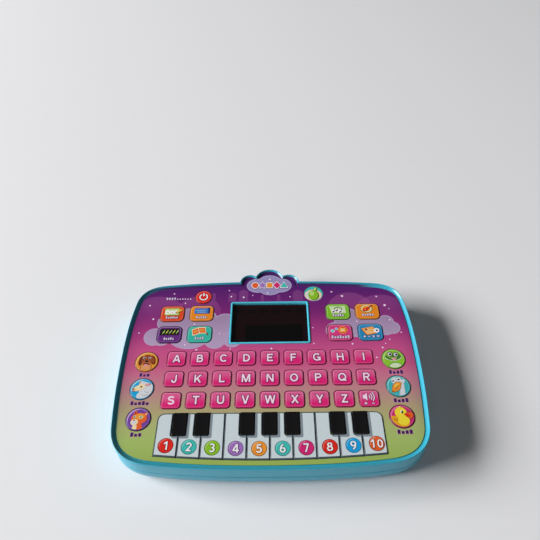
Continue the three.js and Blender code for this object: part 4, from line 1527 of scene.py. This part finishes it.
def number_disc(art, number):
    """A coloured disc with its number."""
    ink = DISC_INKS[number - 1]
    art.oval("dark_" + ink, 0, 0, 11.4, 11.4)
    art.oval(ink, 0.1, 0.1, 10.4, 10.4)
    art.crescent("light_" + ink, 4.9, 0.6)
    size = 6.6 if number < 10 else 6.3
    art.text("dark_" + ink, str(number), 0.1, -0.15, size, 0.06)
    art.text("white", str(number), 0, 0, size, -0.012)


def white_keys():
    for number in range(1, WHITE_COUNT + 1):
        node = f"piano_key_{number}"
        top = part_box(node)[1].z / MM
        corners = white_key_corners(number)
        x = white_key_x(number)
        front = piano_front_y(x)
        solid = Solid()
        solid.stack(corners, "ink_slate", [
            (0, FLANGE_Z, "piano_white"), (0, top - 0.35), (0.08, top - 0.12), (0.25, top), (0.7, top),
            (0.75, top, "piano_white"),
        ])
        lip = rectangle(x, front + 2.5 - FLANGE_REACH, WHITE_PITCH - 3, 5, 0.5)
        solid.prism(rounded(lip), FLANGE_Z, FLANGE_TOP_Z, "piano_white")
        art = Print(solid, 0, 0, top)
        line = [(corners[i][0] * 0.97 + x * 0.03, corners[i][1] + 0.35) for i in (0, 1, 2)]
        art.shape("slate", line + [(px, py + 0.8) for px, py in reversed(line)])
        black_key_shadows(art, number)
        number_disc(Print(solid, x + 0.15 * (number - 1), front + DISC_RISE, top), number)
        finish_key(solid, node, "piano_white", (x, front, top))


# ---------------------------------------------------------------- fasteners, feet and electrics


def screw(solid, x, y, seat_z, length):
    """A pan-head screw seen from below: its head hangs under the seat, with a cross recess."""
    steel = "screw_steel"
    head = seat_z - 2.0
    cross = [
        (0.45, 1.7), (-0.45, 1.7), (-0.45, 0.45), (-1.7, 0.45), (-1.7, -0.45), (-0.45, -0.45),
        (-0.45, -1.7), (0.45, -1.7), (0.45, -0.45), (1.7, -0.45), (1.7, 0.45), (0.45, 0.45),
    ]
    dome = [(2.0, head), (2.55, head + 0.5), (2.75, head + 1.1)]
    solid.loft(rings_of(lambda radius: circle(x, y, radius, 32), steel, dome), [moved(cross, x, y)])
    shank = [
        (2.75, head + 1.08), (2.75, seat_z), (1.3, seat_z), (1.3, seat_z + length - 1.5),
        (0.3, seat_z + length),
    ]
    solid.lathe(x, y, steel, shank, 32)


def fasteners():
    case_screws, cover_screw = Solid(), Solid()
    for x, y in BOSS_PLACES:
        screw(case_screws, x, y, SCREW_SEAT_Z, 9)
    case_screws.build("case_screws", "case", "screw_steel")
    screw(cover_screw, BAY[0], TAB_Y, 3.0, 7)
    cover_screw.build("cover_screw", "case", "screw_steel")


def rubber_feet():
    solid = Solid()
    radius = FOOT_R - 1.05
    profile = [(radius - 0.9, 0), (radius - 0.3, 0.12), (radius, 0.45), (radius, 1.15)]
    for x, y in FOOT_PLACES:
        solid.lathe(x, y, "foot_rubber", profile)
    solid.build("rubber_feet", "case", "foot_rubber")


def speaker():
    """The loudspeaker: paper cone with dust cap, folded surround, black basket and steel magnet."""
    x, y, radius = SPEAKER
    low, high = (corner.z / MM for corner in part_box("speaker"))
    cone, rubber, steel = "speaker_cone", "foot_rubber", "screw_steel"
    solid = Solid()
    solid.lathe(x, y, "speaker_frame", [
        (3.2, low + 2.6, cone), (4.6, low + 3.4, cone), (radius - 5, low + 0.9, cone),
        (radius - 4, low + 0.5, rubber), (radius - 3, low + 0.5, rubber), (radius - 2, low + 0.9, rubber),
        (radius - 1.8, low), (radius, low), (radius, low + 1.5), (radius * 0.66, low + 5.2),
        (radius * 0.66, low + 6, steel), (radius * 0.62, low + 6, steel),
        (radius * 0.62, high - 0.3, steel), (radius * 0.6, high, steel),
    ], 56)
    solid.build("loudspeaker", "case", "speaker_frame", "speaker", (x, y, low), 40)


def key_domes():
    """A hidden silicone dome below every key, low enough to clear the key when it is pressed."""
    solid = Solid()
    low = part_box("keypad_sheet")[1].z / MM
    height = FLANGE_Z - KEY_TRAVEL - 0.1 - low
    profile = [(3.2, low - 0.05), (2.6, low + 0.4 * height), (1.9, low + 0.9 * height), (1.7, low + height)]
    places = [cap_size(node)[:2] for node in CAP_NODES]
    for number in range(1, WHITE_COUNT + 1):
        x = white_key_x(number)
        places.append((x, piano_front_y(x) + DISC_RISE))
    for x, y in places:
        solid.lathe(x, y, "silicone", profile, 16)
    solid.build("keypad_domes", "case", "silicone")


def tube(name, points, radius, finish):
    """A smooth round wire through points."""
    curve = bpy.data.curves.new(name, "CURVE")
    curve.dimensions = "3D"
    curve.bevel_depth = radius * MM
    curve.bevel_resolution = 3
    curve.use_fill_caps = True
    curve.resolution_u = 4
    spline = curve.splines.new("NURBS")
    spline.points.add(len(points) - 1)
    for point, place in zip(spline.points, points):
        point.co = (*(Vector(place) * MM), 1)
    spline.order_u = 4
    spline.use_endpoint_u = True
    curve.materials.append(finishes[finish])
    add_piece(name, curve, "case", finish)


def spring_points(x, y, z, radius=3.4, length=6, turns=5):
    """Points of a tapering helix along +Y."""
    points = []
    for i in range(turns * 10 + 1):
        share = i / (turns * 10)
        angle = 2 * math.pi * turns * share
        width = radius * (1 - 0.35 * share)
        points.append((x + width * math.cos(angle), y + length * share, z + width * math.sin(angle)))
    return points


def electrics():
    """Springs and contact plates of the battery bay, and the speaker's two leads."""
    x, y, _, depth = BAY
    front, back = y - depth / 2, y + depth / 2
    plates = Solid()
    for i in range(3):
        cell_x = x + (i - 1) * 17.6
        for wall_y in (front + 0.3, back - 0.3):
            plates.prism(rounded(rectangle(cell_x, wall_y, 12, 0.4)), 5, 15, "screw_steel")
        tube(f"contact_spring_{i + 1}", spring_points(cell_x, front + 0.5, 10), 0.35, "screw_steel")
    plates.build("battery_contacts", "case", "screw_steel")
    x, y, _ = SPEAKER
    bends = ((12, 6, 8.6), (15, 8, 9), (20, 14, 11), (24, 20, 14), (25, 22, 17), (25, 22, 18.6))
    for name, shift in (("wire_red", 0), ("wire_black", 3)):
        tube("speaker_" + name, [(x - dx, y - dy - shift, z) for dx, dy, z in bends], 0.7, name)


def inner_layers():
    """The board and the silicone sheet keep their own shapes and get their finishes."""
    for node, finish in (("main_board", "circuit_board"), ("keypad_sheet", "silicone")):
        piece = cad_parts[node]
        piece.data.materials.clear()
        piece.data.materials.append(finishes[finish])


# ---------------------------------------------------------------- stage


def make_camera():
    data = bpy.data.cameras.new("camera")
    data.lens = CAMERA_LENS
    data.sensor_width = 36
    camera = add_object("camera", data)
    place, target = Vector(CAMERA_PLACE), Vector(CAMERA_TARGET)
    turn = (target - place).to_track_quat("-Z", "Y").to_matrix().to_4x4()
    roll = Matrix.Rotation(math.radians(CAMERA_ROLL), 4, "Z")
    camera.matrix_world = Matrix.Translation(place * MM) @ turn @ roll
    bpy.context.scene.camera = camera


def make_floor():
    """A plain pale floor, clear from below so that the underside can be looked at."""
    shader = Shader("stage_floor")
    shader.finish(linear((236, 236, 238)), 0.75, 0.01, 0.2, 0.02)
    from_below = shader.node("NewGeometry").outputs["Backfacing"]
    clear = shader.node("BsdfTransparent").outputs[0]
    choose = shader.node("MixShader", from_below, shader.surface.outputs[0], clear)
    shader.link(choose.outputs[0], shader.tree.nodes["Material Output"].inputs["Surface"])
    mesh = bpy.data.meshes.new("floor")
    mesh.from_pydata([(x, y, 0) for x, y, _ in rectangle(0, 0, FLOOR_SIZE, FLOOR_SIZE)], [], [(0, 1, 2, 3)])
    mesh.materials.append(shader.material)
    floor = add_object("floor", mesh)
    floor.visible_shadow = False


def area_light(name, place, width, height, power):
    """A lamp that shines at the origin. Its place and size are in metres."""
    data = bpy.data.lights.new(name, "AREA")
    data.shape = "RECTANGLE"
    data.size = width
    data.size_y = height
    data.energy = power
    lamp = add_object(name, data)
    lamp.location = place
    lamp.rotation_euler = (-Vector(place)).to_track_quat("-Z", "Y").to_euler()


def make_light():
    """A large lamp at the left, a weak one above, and a studio that is pale round the horizon and below."""
    world = bpy.data.worlds.new("studio")
    world.use_nodes = True
    tree = Nodes(world.node_tree)
    background = tree.tree.nodes["Background"].inputs
    background["Color"].default_value = (1, 1, 1, 1)
    direction = tree.node("TexCoord").outputs["Generated"]
    height = tree.node("SeparateXYZ", direction).outputs[2]
    fall = tree.node("MapRange", height, 0.02, 0.26, 0.42, 0.05, interpolation_type="SMOOTHSTEP")
    tree.link(fall.outputs[0], background["Strength"])
    bpy.context.scene.world = world
    area_light("left_light", (-6.0, 0, 3.0), 4.5, 2.4, 820)
    area_light("top_light", (0.2, -0.5, 1.3), 0.9, 0.9, 0.9)
    bpy.context.scene.view_settings.view_transform = "Standard"


def main():
    make_camera()
    make_finishes()
    for part in (
        front_case, rear_case, battery_cover, panel_film, black_keys, panel_prints, display, capped_keys,
        white_keys, fasteners, rubber_feet, speaker, key_domes, electrics, inner_layers,
    ):
        part()
    make_floor()
    make_light()


main()
